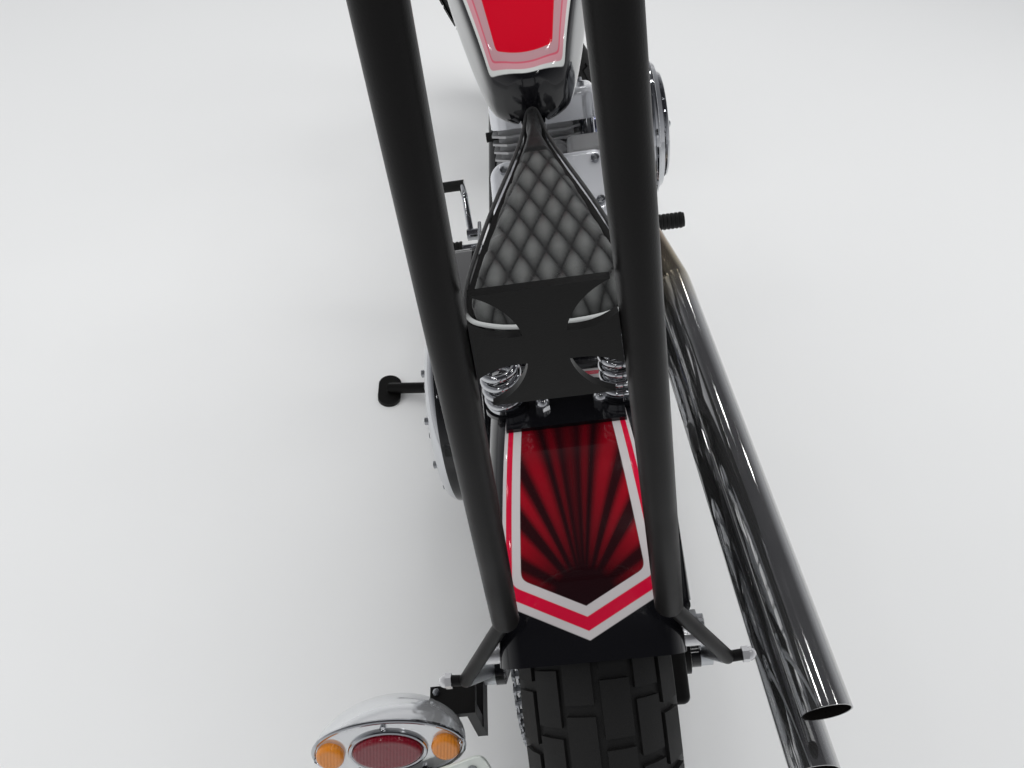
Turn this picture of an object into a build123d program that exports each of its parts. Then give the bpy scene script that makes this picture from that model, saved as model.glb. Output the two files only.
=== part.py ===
from build123d import *
import os
from math import cos, pi, radians, sin, sqrt, tan

# Rigid-frame chopper motorcycle with an air-cooled V-twin, leaning on its side stand.
# Sizes are millimetres and degrees. While it is modelled the bike stands upright and steers straight:
# X runs forward from the rear axle, Y to the rider's left and Z up from the ground. The last section
# turns the steering to its left stop, leans the bike on its stand and moves it to its own origin.

# How it is parked
LEAN = 12.5
STEER_STOP = 35.0
SEAT_GAP = 0.3          # between curved faces that rest on each other
RUN_GAP = 5.0           # least gap between pieces that move past each other
PIN_GAP = 0.05          # radial clearance of a shaft in its bearing

# Wheels
REAR_TYRE_R, REAR_TYRE_W, REAR_TYRE_H = 325.0, 140.0, 122.0
FRONT_TYRE_R, FRONT_TYRE_W, FRONT_TYRE_H = 342.0, 88.0, 75.0
REAR_BEAD_R, FRONT_BEAD_R = REAR_TYRE_R - REAR_TYRE_H, FRONT_TYRE_R - FRONT_TYRE_H
RIM_FLANGE_H, RIM_FLANGE_T, RIM_WELL = 15.0, 4.0, 15.0
SPOKE_COUNT, SPOKE_R, SPOKE_SLANT = 40, 2.4, 32.0
AXLE_R = 9.5
DISC_R, DISC_T, DISC_SLOT = 130.0, 5.0, 15.0
REAR_DISC_Y, FRONT_DISC_Y = -64.5, 70.0
CALIPER_IN, CALIPER_OUT, CALIPER_HALF, CALIPER_LEN, ARM_T = 84.0, 158.0, 28.0, 42.0, 8.0

# Frame
TUBE_R, STAY_R, BACKBONE_R, CROSS_R = 15.0, 12.5, 17.5, 13.0
PLATE_Y, PLATE_T = 104.0, 10.0          # inner face and thickness of the axle plates
RAIL_Y, RAIL_Z = 125.0, 150.0
SEAT_JOINT_X, SEAT_JOINT_Z = 470.0, 625.0
STAY_BEND = (345.0, 104.0, 540.0)
NECK_X, NECK_Z, NECK_LENGTH, NECK_R, STEM_R = 1112.0, 868.0, 150.0, 27.0, 14.0
RAKE = 38.0

# Front fork
FORK_HALF, FORK_OFFSET, FORK_TUBE_R, SLIDER_R = 102.0, 45.0, 20.5, 26.0
CLAMP_T, CLAMP_GAP = 26.0, 4.0
SLIDER_LENGTH, FORK_TOP = 400.0, 55.0
BAR_R, GRIP_R, BAR_RISE, BAR_PULL = 12.7, 17.0, 190.0, 150.0
BAR_HALF, BAR_FOOT, GRIP_LENGTH = 350.0, 60.0, 125.0
BAR_X, BAR_Z = FORK_OFFSET - 20, NECK_LENGTH / 2 + CLAMP_GAP + CLAMP_T + 70

# Engine
CRANK_X, CRANK_Z, CASE_R = 668.0, 280.0, 112.0
CASE_LEFT, CASE_RIGHT = 78.0, -72.0
BANK_ANGLE = 22.5
BARREL_FOOT, BARREL_R, BARREL_H = 128.0, 46.0, 112.0
FIN_COUNT, FIN_T, FIN_PITCH, FIN_HALF = 8, 3.5, 12.5, 74.0
HEAD_FIN_COUNT, HEAD_H, ROCKER_H, ROCKER_REACH = 5, 66.0, 48.0, 103.0
PORT_T, PORT_OUT, PORT_FACE = 270.0, 34.0, 76.0
INLET_T, INLET_OUT, INLET_Y, INLET_R = 262.0, 70.0, -30.0, 17.0
CLEANER_R, CLEANER_IN, CLEANER_OUT, CLEANER_Z = 98.0, -112.0, -188.0, 602.0
PIPE_R, PIPE_WALL, PIPE_OPEN = 25.0, 2.0, 220.0

# Primary drive and gearbox
CLUTCH_X, CLUTCH_Z, CLUTCH_R = 375.0, 330.0, 140.0
PRIMARY_NOSE_R, PRIMARY_IN, PRIMARY_OUT = 100.0, 140.0, 198.0
CHAIN_Y, CHAIN_W, CHAIN_H, CHAIN_PLAY, SPROCKET_R, PINION_R = 86.0, 14.0, 15.0, 1.5, 108.0, 42.0

# Tank, seat, fender and sissy bar
TANK_WALL_GAP = 4.0
TANK_PIN = 20.0
SEAT_NOSE_X, SEAT_NOSE_Z, SEAT_LENGTH, SEAT_HALF = 580.0, 689.0, 480.0, 88.0
SEAT_TILT, SEAT_PAD_T, SEAT_PAN_T = 5.0, 30.0, 3.0
SPRING_X, SPRING_Y, SPRING_R, WIRE_R, STRAP_T = 100.0, 57.0, 17.0, 3.6, 4.0
FENDER_GAP, FENDER_HALF, FENDER_WALL, FENDER_SKIRT = 20.0, 78.0, 3.0, 62.0
FENDER_R = REAR_TYRE_R + FENDER_GAP
FENDER_FROM, FENDER_TO = 22.0, 117.0
SISSY_R, SISSY_ROD_R, SISSY_TOP, SISSY_FOOT_Z = 11.1, 6.35, 1330.0, 676.0
SISSY_PAD = (-62.0, PLATE_Y + PLATE_T + SISSY_ROD_R + SEAT_GAP, REAR_TYRE_R + 62.0)
EYE_OUT = SISSY_PAD[1] + SISSY_ROD_R + SEAT_GAP
SISSY_KNEE, STAND_OFF = (-134.0, 118.0, REAR_TYRE_R + 233.0), (-130.0, 100.0, REAR_TYRE_R + 275.0)
CROSS_T, CROSS_Z, CROSS_FLARE, CROSS_NOTCH, CROSS_SIDE = 5.0, 971.5, (34.0, 41.0), (11.0, 10.5), 19.0

# Tail light, its face tilted up, and number plate
LAMP_AT, LAMP_TILT, LAMP_HALF, LAMP_RISE, LAMP_DEPTH = (-154.0, 216.0, 452.0), 30.0, 78.0, 35.0, 66.0
LENS_HALF, LENS_RISE, LENS_T, TURN_LAMP_Y, TURN_LAMP_R = 36.0, 20.0, 8.0, 59.0, 14.5
PLATE_W, PLATE_H, PLATE_SHEET, PLATE_ROLL, PLATE_AT = 178.0, 102.0, 2.0, -18.0, (-26.5, -81.0)

# Side stand
STAND_PIVOT, STAND_R, KNUCKLE_R, STAND_PIN_R = (600.0, 142.0, 118.0), 11.0, 17.0, 7.0
KNUCKLE_HALF, EAR_IN, EAR_OUT = 11.5, 12.0, 20.0


def bar(start, end, radius):
    """Straight round bar between two points."""
    run = Vector(*end) - Vector(*start)
    return extrude(Plane(origin=start, z_dir=run) * Circle(radius), amount=run.length)


def bent(points, radius, bend):
    """Round bar along straight runs joined by arcs."""
    path = FilletPolyline(*points, radius=bend)
    return sweep(Plane(origin=path @ 0, z_dir=path % 0) * Circle(radius), path=path)


def block(low, high, edge=0.0):
    """Box between two corners with its edges rounded."""
    size = [h - l for l, h in zip(low, high)]
    middle = [(l + h) / 2 for l, h in zip(low, high)]
    body = Pos(*middle) * Box(*size)
    return fillet(body.edges(), edge) if edge else body


def spun(points):
    """Ring about the Y axis from a section given as (y, radius) points."""
    return revolve(Plane.YZ * make_face(Polyline(*points, close=True)), Axis.Y, 360)


def across(outline, y_from, y_to):
    """Extrude an X-Z outline from one Y to another."""
    face = Plane(origin=(0, y_from, 0), x_dir=(1, 0, 0), z_dir=(0, -1, 0)) * outline
    return extrude(face, amount=y_from - y_to)


def mirrored(shape):
    """The same piece on the other side of the bike."""
    return mirror(shape, Plane.XZ)


def fused(*shapes):
    """One solid from overlapping shapes, or one group of separate ones."""
    result = shapes[0]
    for shape in shapes[1:]:
        result = result + shape
    return result


# Wheels, made about the Y axis at the origin and then moved to their axles

def tyre(radius, width, bead_r):
    """Round-crowned tyre with its beads between the rim flanges."""
    crown, bead = width / 2, 0.33 * width
    lip = bead_r + RIM_FLANGE_H
    side = [(bead, lip + 1), (0.46 * width, (lip + radius - crown) / 2 + 2), (crown, radius - crown)]
    section = make_face([
        Line((-bead, bead_r + SEAT_GAP), (bead, bead_r + SEAT_GAP)),
        Line((bead, bead_r + SEAT_GAP), side[0]),
        ThreePointArc(*side),
        ThreePointArc((crown, radius - crown), (0, radius), (-crown, radius - crown)),
        ThreePointArc(*[(-y, r) for y, r in reversed(side)]),
        Line((-bead, lip + 1), (-bead, bead_r + SEAT_GAP)),
    ])
    return revolve(Plane.YZ * section, Axis.Y, 360)


def rim(width, bead_r):
    """Steel rim with two flanges and a dropped centre."""
    seat = 0.33 * width
    edge = seat + RIM_FLANGE_T
    well = bead_r - RIM_WELL
    return spun([
        (-edge, bead_r + RIM_FLANGE_H), (-seat, bead_r + RIM_FLANGE_H), (-seat, bead_r), (seat, bead_r),
        (seat, bead_r + RIM_FLANGE_H), (edge, bead_r + RIM_FLANGE_H), (edge, bead_r - 6),
        (0.6 * seat, well), (-0.6 * seat, well), (-edge, bead_r - 6),
    ])


def hub(low, high, flange_y, barrel_r, flange_r, bead_r):
    """Hub with two spoke flanges, laced to the rim by crossed spokes."""
    flange_t = 6.0
    bore = AXLE_R + PIN_GAP
    body = spun([
        (low, bore), (high, bore), (high, barrel_r),
        (flange_y + flange_t, barrel_r), (flange_y + flange_t, flange_r), (flange_y, flange_r),
        (flange_y, barrel_r), (-flange_y, barrel_r), (-flange_y, flange_r),
        (-flange_y - flange_t, flange_r), (-flange_y - flange_t, barrel_r), (low, barrel_r),
    ])
    spokes = []
    for number in range(SPOKE_COUNT):
        side = 1 if number % 2 else -1
        slant = SPOKE_SLANT if (number // 2) % 2 else -SPOKE_SLANT
        outer = radians(360.0 * number / SPOKE_COUNT)
        inner = outer + radians(slant)
        foot = (flange_r - 6) * cos(inner), side * (flange_y + flange_t / 2), (flange_r - 6) * sin(inner)
        reach = bead_r - RIM_WELL + 1
        tip = reach * cos(outer), side * 8.0, reach * sin(outer)
        run = Vector(*tip) - Vector(*foot)
        spokes.append(extrude(Plane(origin=foot, z_dir=run) * RegularPolygon(SPOKE_R, 6), amount=run.length))
    return body.fuse(*spokes)


def disc(y):
    """Brake disc with a ring of lightening holes."""
    bore_r, hole_r, hole_ring_r, holes = 30.0, 12.0, 86.0, 10
    plate = spun([(y - DISC_T / 2, bore_r), (y + DISC_T / 2, bore_r), (y + DISC_T / 2, DISC_R),
                  (y - DISC_T / 2, DISC_R)])
    for number in range(holes):
        turn = radians(360.0 * number / holes)
        centre = (hole_ring_r * cos(turn), hole_ring_r * sin(turn))
        plate -= across(Pos(*centre) * Circle(hole_r), y + DISC_T, y - DISC_T)
    return plate


def caliper(y):
    """Brake caliper that straddles the disc, drawn straight ahead of the axle."""
    inner, outer = (CALIPER_IN, y - CALIPER_HALF, -CALIPER_LEN), (CALIPER_OUT, y + CALIPER_HALF, CALIPER_LEN)
    slot_in = (CALIPER_IN - 20, y - DISC_SLOT / 2, -CALIPER_LEN - 5)
    slot_out = (DISC_R + RUN_GAP, y + DISC_SLOT / 2, CALIPER_LEN + 5)
    return block(inner, outer, 8.0) - block(slot_in, slot_out)


def rear_caliper():
    """Caliper on an arm that the rear axle holds against the right axle plate."""
    face, outside = REAR_DISC_Y - CALIPER_HALF, REAR_DISC_Y - CALIPER_HALF - ARM_T
    arm = across(make_hull([Edge.make_circle(22), *(Pos(CALIPER_IN + 20, 0) * Edge.make_circle(26)).edges()]),
                 face, outside)
    arm -= bar((0, face + 60, 0), (0, face - 60, 0), AXLE_R + SEAT_GAP)
    return Rot(0, -128, 0) * (caliper(REAR_DISC_Y) + arm)


def front_caliper():
    """Caliper behind the left fork leg, on a lug that fits round the back of the leg."""
    lug = block((-CALIPER_IN - 16, 80, 34), (-15, 96, 62))
    lug -= Pos(0, FORK_HALF, 48) * Cylinder(SLIDER_R + SEAT_GAP, 60)
    return Rot(0, -165, 0) * caliper(FRONT_DISC_Y) + lug


# Rear wheel and final drive

def rear_wheel():
    low, high = REAR_DISC_Y + DISC_T / 2, CHAIN_Y + 3.5
    spoked = hub(low, high, 38.0, 26.0, 46.0, REAR_BEAD_R)
    rim_piece = rim(REAR_TYRE_W, REAR_BEAD_R)
    collar = spun([(REAR_DISC_Y - DISC_T / 2, AXLE_R + PIN_GAP), (low, AXLE_R + PIN_GAP), (low, 20.0),
                   (low + 6, 20.0), (low + 6, 46.0), (low, 46.0), (low, 29.0), (REAR_DISC_Y - DISC_T / 2, 29.0)])
    carrier = spun([(CHAIN_Y - 9, 20.0), (CHAIN_Y - 3, 20.0), (CHAIN_Y - 3, 50.0), (CHAIN_Y - 9, 50.0)])
    teeth = 48
    wheel_sprocket = sprocket(SPROCKET_R, teeth, CHAIN_Y, 26.0 + SEAT_GAP)
    return {
        "rear_tyre": tyre(REAR_TYRE_R, REAR_TYRE_W, REAR_BEAD_R),
        "rear_spoked_wheel": spoked + collar + carrier + rim_piece,
        "rear_brake_disc": disc(REAR_DISC_Y),
        "rear_sprocket": wheel_sprocket,
    }


def sprocket(radius, teeth, y, bore):
    """Flat chain wheel with pointed teeth and round lightening holes."""
    depth, half_t, holes = 7.0, 3.0, 6
    rim_points = []
    for number in range(teeth):
        for share, r in ((0.0, radius - depth), (0.35, radius - depth), (0.5, radius), (0.85, radius)):
            turn = 2 * pi * (number + share) / teeth
            rim_points.append((r * cos(turn), r * sin(turn)))
    outline = make_face(Polyline(*rim_points, close=True))
    outline -= Circle(bore)
    for number in range(holes):
        turn = 2 * pi * number / holes
        outline -= Pos(0.62 * radius * cos(turn), 0.62 * radius * sin(turn)) * Circle(0.17 * radius)
    return across(outline, y + half_t, y - half_t)


def drive_chain():
    """Closed roller chain round the wheel sprocket and the gearbox sprocket."""
    wheel, pinion = (0.0, REAR_TYRE_R), (CLUTCH_X + 25, CLUTCH_Z)

    def loop(extra):
        big = Pos(*wheel) * Edge.make_circle(SPROCKET_R + CHAIN_PLAY + extra)
        small = Pos(*pinion) * Edge.make_circle(PINION_R + SEAT_GAP + extra)
        return make_hull([*big.edges(), *small.edges()])

    return across(loop(CHAIN_H) - loop(0), CHAIN_Y + CHAIN_W / 2, CHAIN_Y - CHAIN_W / 2)


def rear_axle():
    """Axle with its spacers and end nuts, clamped in the frame's plates."""
    nut_r, nut_t, spacer_r = 15.0, 12.0, 15.0
    ends = PLATE_Y + PLATE_T
    shaft = bar((0, -ends - nut_t - 8, 0), (0, ends + nut_t + 8, 0), AXLE_R)
    for side in (-1, 1):
        face = Plane(origin=(0, side * ends, 0), z_dir=(0, side, 0))
        shaft += extrude(face * RegularPolygon(nut_r, 6), amount=nut_t)
    left = CHAIN_Y + 3.5 + 1.0
    shaft += bar((0, left, 0), (0, PLATE_Y, 0), spacer_r)
    right = REAR_DISC_Y - DISC_T / 2 - 1.0
    bracket_in = REAR_DISC_Y - CALIPER_HALF
    bracket_out = bracket_in - ARM_T
    shaft += bar((0, right, 0), (0, bracket_in, 0), spacer_r)
    shaft += bar((0, bracket_out, 0), (0, -PLATE_Y, 0), spacer_r)
    return shaft


# Frame

def backbone_z(x):
    """Height of the backbone's centre line at a given X."""
    slope = (NECK_Z - SEAT_JOINT_Z) / (NECK_X - SEAT_JOINT_X)
    return SEAT_JOINT_Z + slope * (x - SEAT_JOINT_X)


def steering_axis():
    """Middle of the neck and the upward direction of the steering axis."""
    return Vector(NECK_X, 0, NECK_Z), Vector(-sin(radians(RAKE)), 0, cos(radians(RAKE)))


def frame_tubes():
    """Welded frame: neck, backbone, seat post, two cradle tubes, two rear stays and the axle plates."""
    middle, up = steering_axis()
    neck = bar(middle - up * (NECK_LENGTH / 2), middle + up * (NECK_LENGTH / 2), NECK_R)
    backbone = bar((SEAT_JOINT_X, 0, SEAT_JOINT_Z), (NECK_X, 0, NECK_Z), BACKBONE_R)
    post_foot = SEAT_JOINT_X - 12
    post = bar((post_foot, 0, RAIL_Z), (SEAT_JOINT_X, 0, SEAT_JOINT_Z), TUBE_R)
    cross = [bar((x, -RAIL_Y, RAIL_Z), (x, RAIL_Y, RAIL_Z), CROSS_R)
             for x in (post_foot - 86, post_foot, CRANK_X - 85, CRANK_X + 85)]
    bend_x, bend_y, bend_z = STAY_BEND
    stay_cross = bar((bend_x, -bend_y, bend_z), (bend_x, bend_y, bend_z), 9)
    fender_tab = bar((bend_x, 0, bend_z), (bend_x - 75, 0, bend_z - 47), 8)
    mounts = [bar((x, -TANK_PIN, backbone_z(x)), (x, TANK_PIN, backbone_z(x)), 7) for x in (650, 980)]
    ahead = Vector(cos(radians(RAKE)), 0, sin(radians(RAKE)))
    under_neck = middle - up * 38
    elbow = middle - up * 75 - ahead * 80
    sides = []
    for side in (-1, 1):
        axle_end = (27, side * (PLATE_Y + PLATE_T / 2), REAR_TYRE_R - 8)
        cradle = bent([axle_end, (330, side * RAIL_Y, RAIL_Z), (CRANK_X + 262, side * RAIL_Y, RAIL_Z),
                       (elbow.X, side * 26, elbow.Z), (under_neck.X, side * 12, under_neck.Z)], TUBE_R, 45)
        stay = bent([(18, side * (PLATE_Y + PLATE_T / 2), REAR_TYRE_R + 24), (bend_x, side * bend_y, bend_z),
                     (SEAT_JOINT_X, side * 12, SEAT_JOINT_Z - 4)], STAY_R, 60)
        plate = across(make_hull([*(Pos(0, REAR_TYRE_R) * Edge.make_circle(30)).edges(),
                                  *(Pos(-62, REAR_TYRE_R + 62) * Edge.make_circle(15)).edges(),
                                  *(Pos(48, REAR_TYRE_R - 8) * Edge.make_circle(22)).edges()]),
                       side * PLATE_Y if side < 0 else PLATE_Y + PLATE_T,
                       side * (PLATE_Y + PLATE_T) if side < 0 else PLATE_Y)
        sides += [cradle, stay, plate]
    whole = fused(backbone, neck, post, stay_cross, fender_tab, *cross, *mounts, *sides)
    whole -= bar(middle - up * NECK_LENGTH, middle + up * NECK_LENGTH, STEM_R + PIN_GAP)
    for y in (-PLATE_Y - PLATE_T / 2, PLATE_Y + PLATE_T / 2):
        whole -= bar((0, y - 30, REAR_TYRE_R), (0, y + 30, REAR_TYRE_R), AXLE_R + SEAT_GAP)
    fender_space = bar((0, -FENDER_HALF, REAR_TYRE_R), (0, FENDER_HALF, REAR_TYRE_R), FENDER_R + SEAT_GAP)
    return whole - fender_space


# Front fork, modelled upright about its own steering axis and then raked

def rake_place(shape):
    """Lay a shape made about a vertical steering axis onto the raked axis."""
    return Pos(NECK_X, 0, NECK_Z) * Rot(0, -RAKE, 0) * shape


def fork_drop():
    """Length from the middle of the neck to the front axle that puts both tyres on one floor."""
    lean, steer, rake = radians(LEAN), radians(STEER_STOP), radians(RAKE)
    up = Vector(-sin(rake), 0, cos(rake))
    ahead = Vector(cos(rake), 0, sin(rake))
    offset = ahead * cos(steer) + Vector(0, 1, 0) * sin(steer)
    spin = Vector(0, 1, 0) * cos(steer) - ahead * sin(steer)

    def height(vector):
        return vector.Z * cos(lean) - vector.Y * sin(lean)

    rear_low = REAR_TYRE_W / 2 * (cos(lean) - 1)
    ring = FRONT_TYRE_R - FRONT_TYRE_W / 2
    rest = ring * sqrt(1 - height(spin) ** 2) + FRONT_TYRE_W / 2
    neck = height(Vector(NECK_X, 0, NECK_Z) + offset * FORK_OFFSET)
    return (neck - rest - rear_low) / height(up)


def clamp_plate(z, stem_r):
    """Fork clamp across both tubes with a boss at the steering stem."""
    reach = FORK_TUBE_R + 9
    shape = make_hull([*(Pos(FORK_OFFSET, -FORK_HALF) * Edge.make_circle(reach)).edges(),
                       *(Pos(FORK_OFFSET, FORK_HALF) * Edge.make_circle(reach)).edges(),
                       *Edge.make_circle(stem_r + 18).edges()])
    plate = extrude(Pos(0, 0, z) * shape, amount=CLAMP_T)
    for y in (-FORK_HALF, FORK_HALF):
        plate -= Pos(FORK_OFFSET, y, z + CLAMP_T / 2) * Cylinder(FORK_TUBE_R + SEAT_GAP, CLAMP_T + 2)
    return plate


def fork():
    """Everything that turns with the steering, apart from the wheel."""
    drop = fork_drop()
    low_face = -NECK_LENGTH / 2 - CLAMP_GAP - CLAMP_T
    high_face = NECK_LENGTH / 2 + CLAMP_GAP
    lower = clamp_plate(low_face, STEM_R) + Cylinder(STEM_R, NECK_LENGTH + 2 * CLAMP_GAP)
    upper = clamp_plate(high_face, STEM_R) + risers()
    lamp = headlamp()
    pieces = {"fork_clamps": lower + lamp_arm() - lamp["headlamp_shell"] + upper} | lamp
    slider_top = -drop + SLIDER_LENGTH
    tubes, sliders = [], []
    for y in (-FORK_HALF, FORK_HALF):
        length = high_face + FORK_TOP - slider_top
        tubes.append(Pos(FORK_OFFSET, y, slider_top + length / 2) * Cylinder(FORK_TUBE_R, length))
        leg_length = SLIDER_LENGTH - 30
        leg = Pos(FORK_OFFSET, y, slider_top - leg_length / 2) * Cylinder(SLIDER_R, leg_length)
        leg += Pos(FORK_OFFSET, y, slider_top - 9) * Cylinder(SLIDER_R + 3, 18)
        leg += block((FORK_OFFSET - 22, y - 20, -drop - 26), (FORK_OFFSET + 22, y + 20, -drop + 36), 6)
        leg -= bar((FORK_OFFSET, y - 60, -drop), (FORK_OFFSET, y + 60, -drop), AXLE_R + SEAT_GAP)
        sliders.append(leg)
    pieces["fork_tubes"] = fused(*tubes)
    pieces["fork_sliders"] = fused(*sliders)

    ends = FORK_HALF + 20
    shaft = bar((FORK_OFFSET, -ends - 14, -drop), (FORK_OFFSET, ends + 14, -drop), AXLE_R)
    for side in (-1, 1):
        face = Plane(origin=(FORK_OFFSET, side * ends, -drop), z_dir=(0, side, 0))
        shaft += extrude(face * RegularPolygon(15, 6), amount=10)
    shaft += bar((FORK_OFFSET, FRONT_DISC_Y + DISC_T / 2 + 1, -drop), (FORK_OFFSET, FORK_HALF - 20, -drop), 14)
    shaft += bar((FORK_OFFSET, -FORK_HALF + 20, -drop), (FORK_OFFSET, -FRONT_DISC_Y, -drop), 14)
    pieces["front_axle"] = shaft
    return pieces, drop


def risers():
    """Two posts from the upper clamp, each with a ring round the handlebar."""
    posts = []
    for y in (22 - BAR_FOOT, BAR_FOOT - 22):
        post = Pos(BAR_X, y, BAR_Z - 36) * Cylinder(15, 72)
        post += Pos(BAR_X, y, BAR_Z) * Rot(90, 0, 0) * Cylinder(22, 32)
        posts.append(post - Pos(BAR_X, y, BAR_Z) * Rot(90, 0, 0) * Cylinder(BAR_R + SEAT_GAP, 40))
    return fused(*posts)


def handlebar():
    """Pulled-back bar with grips, clutch and brake levers."""
    foot_x, bar_z = BAR_X, BAR_Z
    half = [(foot_x, 0, bar_z), (foot_x, BAR_FOOT + 20, bar_z), (foot_x + 5, BAR_FOOT + 75, bar_z + BAR_RISE),
            (foot_x - BAR_PULL, BAR_HALF, bar_z + BAR_RISE - 20)]
    side = bent(half, BAR_R, [30, 48])
    whole = side + mirrored(side)
    elbow, end = Vector(*half[2]), Vector(*half[3])
    run = (end - elbow).normalized()
    grips, levers = [], []
    for flip in (False, True):
        tip = end + run * 4
        grip = bar(tip - run * GRIP_LENGTH, tip, GRIP_R) - bar(elbow, end, BAR_R + SEAT_GAP)
        perch_at = end - run * (GRIP_LENGTH + 22)
        lever = bar(perch_at - run * 15, perch_at + run * 15, 20)
        ahead = Vector(run.Y, -run.X, 0).normalized()
        pivot = perch_at + ahead * 34
        lever += bar(perch_at, pivot, 11)
        lever += bent([pivot - run * 6, pivot + run * 45 + ahead * 16, pivot + run * 165 + ahead * 8], 6.5, 30)
        lever += Pos(*(pivot + run * 170 + ahead * 8)) * Sphere(9)
        lever -= bar(elbow, end, BAR_R + SEAT_GAP)
        grips.append(mirrored(grip) if flip else grip)
        levers.append(mirrored(lever) if flip else lever)
    return {"handlebar": whole, "grips": fused(*grips), "hand_levers": fused(*levers)}


def lamp_arm():
    """Bracket below the lower clamp for the headlamp."""
    foot = -NECK_LENGTH / 2 - CLAMP_GAP - CLAMP_T
    arm = block((FORK_OFFSET + 8, -16, foot - 12), (FORK_OFFSET + 60, 16, foot))
    return arm + block((FORK_OFFSET + 48, -16, foot - 70), (FORK_OFFSET + 60, 16, foot))


def headlamp():
    """Round headlamp on a bracket below the lower clamp."""
    lamp_r, depth = 74.0, 105.0
    centre = Vector(FORK_OFFSET + 118, 0, -NECK_LENGTH / 2 - CLAMP_GAP - CLAMP_T - 42)
    profile = make_face([
        Line((0, 0), (0, 12)),
        ThreePointArc((0, 12), (35, 52), (depth - 22, lamp_r - 4)),
        Line((depth - 22, lamp_r - 4), (depth - 22, lamp_r)),
        Line((depth - 22, lamp_r), (depth, lamp_r)),
        Line((depth, lamp_r), (depth, lamp_r - 7)),
        Line((depth, lamp_r - 7), (depth - 8, lamp_r - 7)),
        Line((depth - 8, lamp_r - 7), (depth - 8, 0)),
        Line((depth - 8, 0), (0, 0)),
    ])
    turn = Pos(centre.X - depth / 2, 0, centre.Z) * Rot(0, RAKE, 0)
    shell = turn * revolve(Plane.XY * profile, Axis.X, 360)
    lens_shape = make_face([
        Line((depth - 7.7, 0), (depth - 7.7, lamp_r - 7.5)),
        Line((depth - 7.7, lamp_r - 7.5), (depth - 3, lamp_r - 7.5)),
        RadiusArc((depth - 3, lamp_r - 7.5), (depth + 9, 0), ((lamp_r - 7.5) ** 2 + 144) / 24),
        Line((depth + 9, 0), (depth - 7.7, 0)),
    ])
    lens = turn * revolve(Plane.XY * lens_shape, Axis.X, 360)
    return {"headlamp_shell": shell, "headlamp_lens": lens}


def front_wheel(drop):
    spoked = hub(-FRONT_DISC_Y + 1, FRONT_DISC_Y + DISC_T / 2, 24.0, 22.0, 38.0, FRONT_BEAD_R)
    rim_piece = rim(FRONT_TYRE_W, FRONT_BEAD_R)
    flange = spun([(FRONT_DISC_Y - DISC_T / 2 - 6, 20.0), (FRONT_DISC_Y - DISC_T / 2, 20.0),
                   (FRONT_DISC_Y - DISC_T / 2, 38.0), (FRONT_DISC_Y - DISC_T / 2 - 6, 38.0)])
    neck = spun([(FRONT_DISC_Y - DISC_T / 2, AXLE_R + PIN_GAP), (FRONT_DISC_Y + DISC_T / 2, AXLE_R + PIN_GAP),
                 (FRONT_DISC_Y + DISC_T / 2, 29.7), (FRONT_DISC_Y - DISC_T / 2, 29.7)])
    place = Pos(FORK_OFFSET, 0, -drop)
    return {
        "front_tyre": place * tyre(FRONT_TYRE_R, FRONT_TYRE_W, FRONT_BEAD_R),
        "front_spoked_wheel": place * (spoked + flange + neck + rim_piece),
        "front_brake_disc": place * disc(FRONT_DISC_Y),
    }


# Engine

def bank(angle, shape):
    """Lean a shape made upright over the crank, forward or back."""
    return Pos(CRANK_X, 0, CRANK_Z) * Rot(0, angle, 0) * shape


def fin_plate(z, half_y, thick):
    """One cooling fin, squarish with clipped corners, narrower where the two banks meet."""
    near = min(66.0, tan(radians(BANK_ANGLE)) * z - 3.0)
    clip = 24.0
    points = [(-66 + clip, -half_y), (near - clip, -half_y), (near, -half_y + clip), (near, half_y - clip),
              (near - clip, half_y), (-66 + clip, half_y), (-66, half_y - clip), (-66, -half_y + clip)]
    return extrude(Pos(0, 0, z) * make_face(Polyline(*points, close=True)), amount=thick)


def cylinder_bank():
    """Finned barrel, finned head and rocker box of one cylinder, upright, other bank towards +X."""
    barrel = Pos(0, 0, BARREL_FOOT + BARREL_H / 2) * Cylinder(BARREL_R, BARREL_H)
    for number in range(FIN_COUNT):
        barrel += fin_plate(BARREL_FOOT + 14 + number * FIN_PITCH, FIN_HALF, FIN_T)
    head_z = BARREL_FOOT + BARREL_H
    head = Pos(0, 0, head_z + HEAD_H / 2) * Box(2 * BARREL_R + 4, 2 * BARREL_R + 30, HEAD_H)
    for number in range(HEAD_FIN_COUNT):
        head += fin_plate(head_z + 4 + number * FIN_PITCH, FIN_HALF - 2, FIN_T)
    head += bar((-PORT_OUT, -30, PORT_T), (-PORT_OUT, -PORT_FACE, PORT_T), PIPE_R + 4)
    head += bar((30, INLET_Y, INLET_T), (INLET_OUT, INLET_Y, INLET_T), INLET_R + 3)
    rocker_z = head_z + HEAD_H
    rocker = block((-56, -ROCKER_REACH, rocker_z), (56, 72, rocker_z + ROCKER_H))
    rocker = fillet(rocker.edges().filter_by(Axis.Z), 26)
    rocker = fillet(rocker.faces().sort_by(Axis.Z)[-1].edges(), 12)
    return barrel, head, rocker


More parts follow.
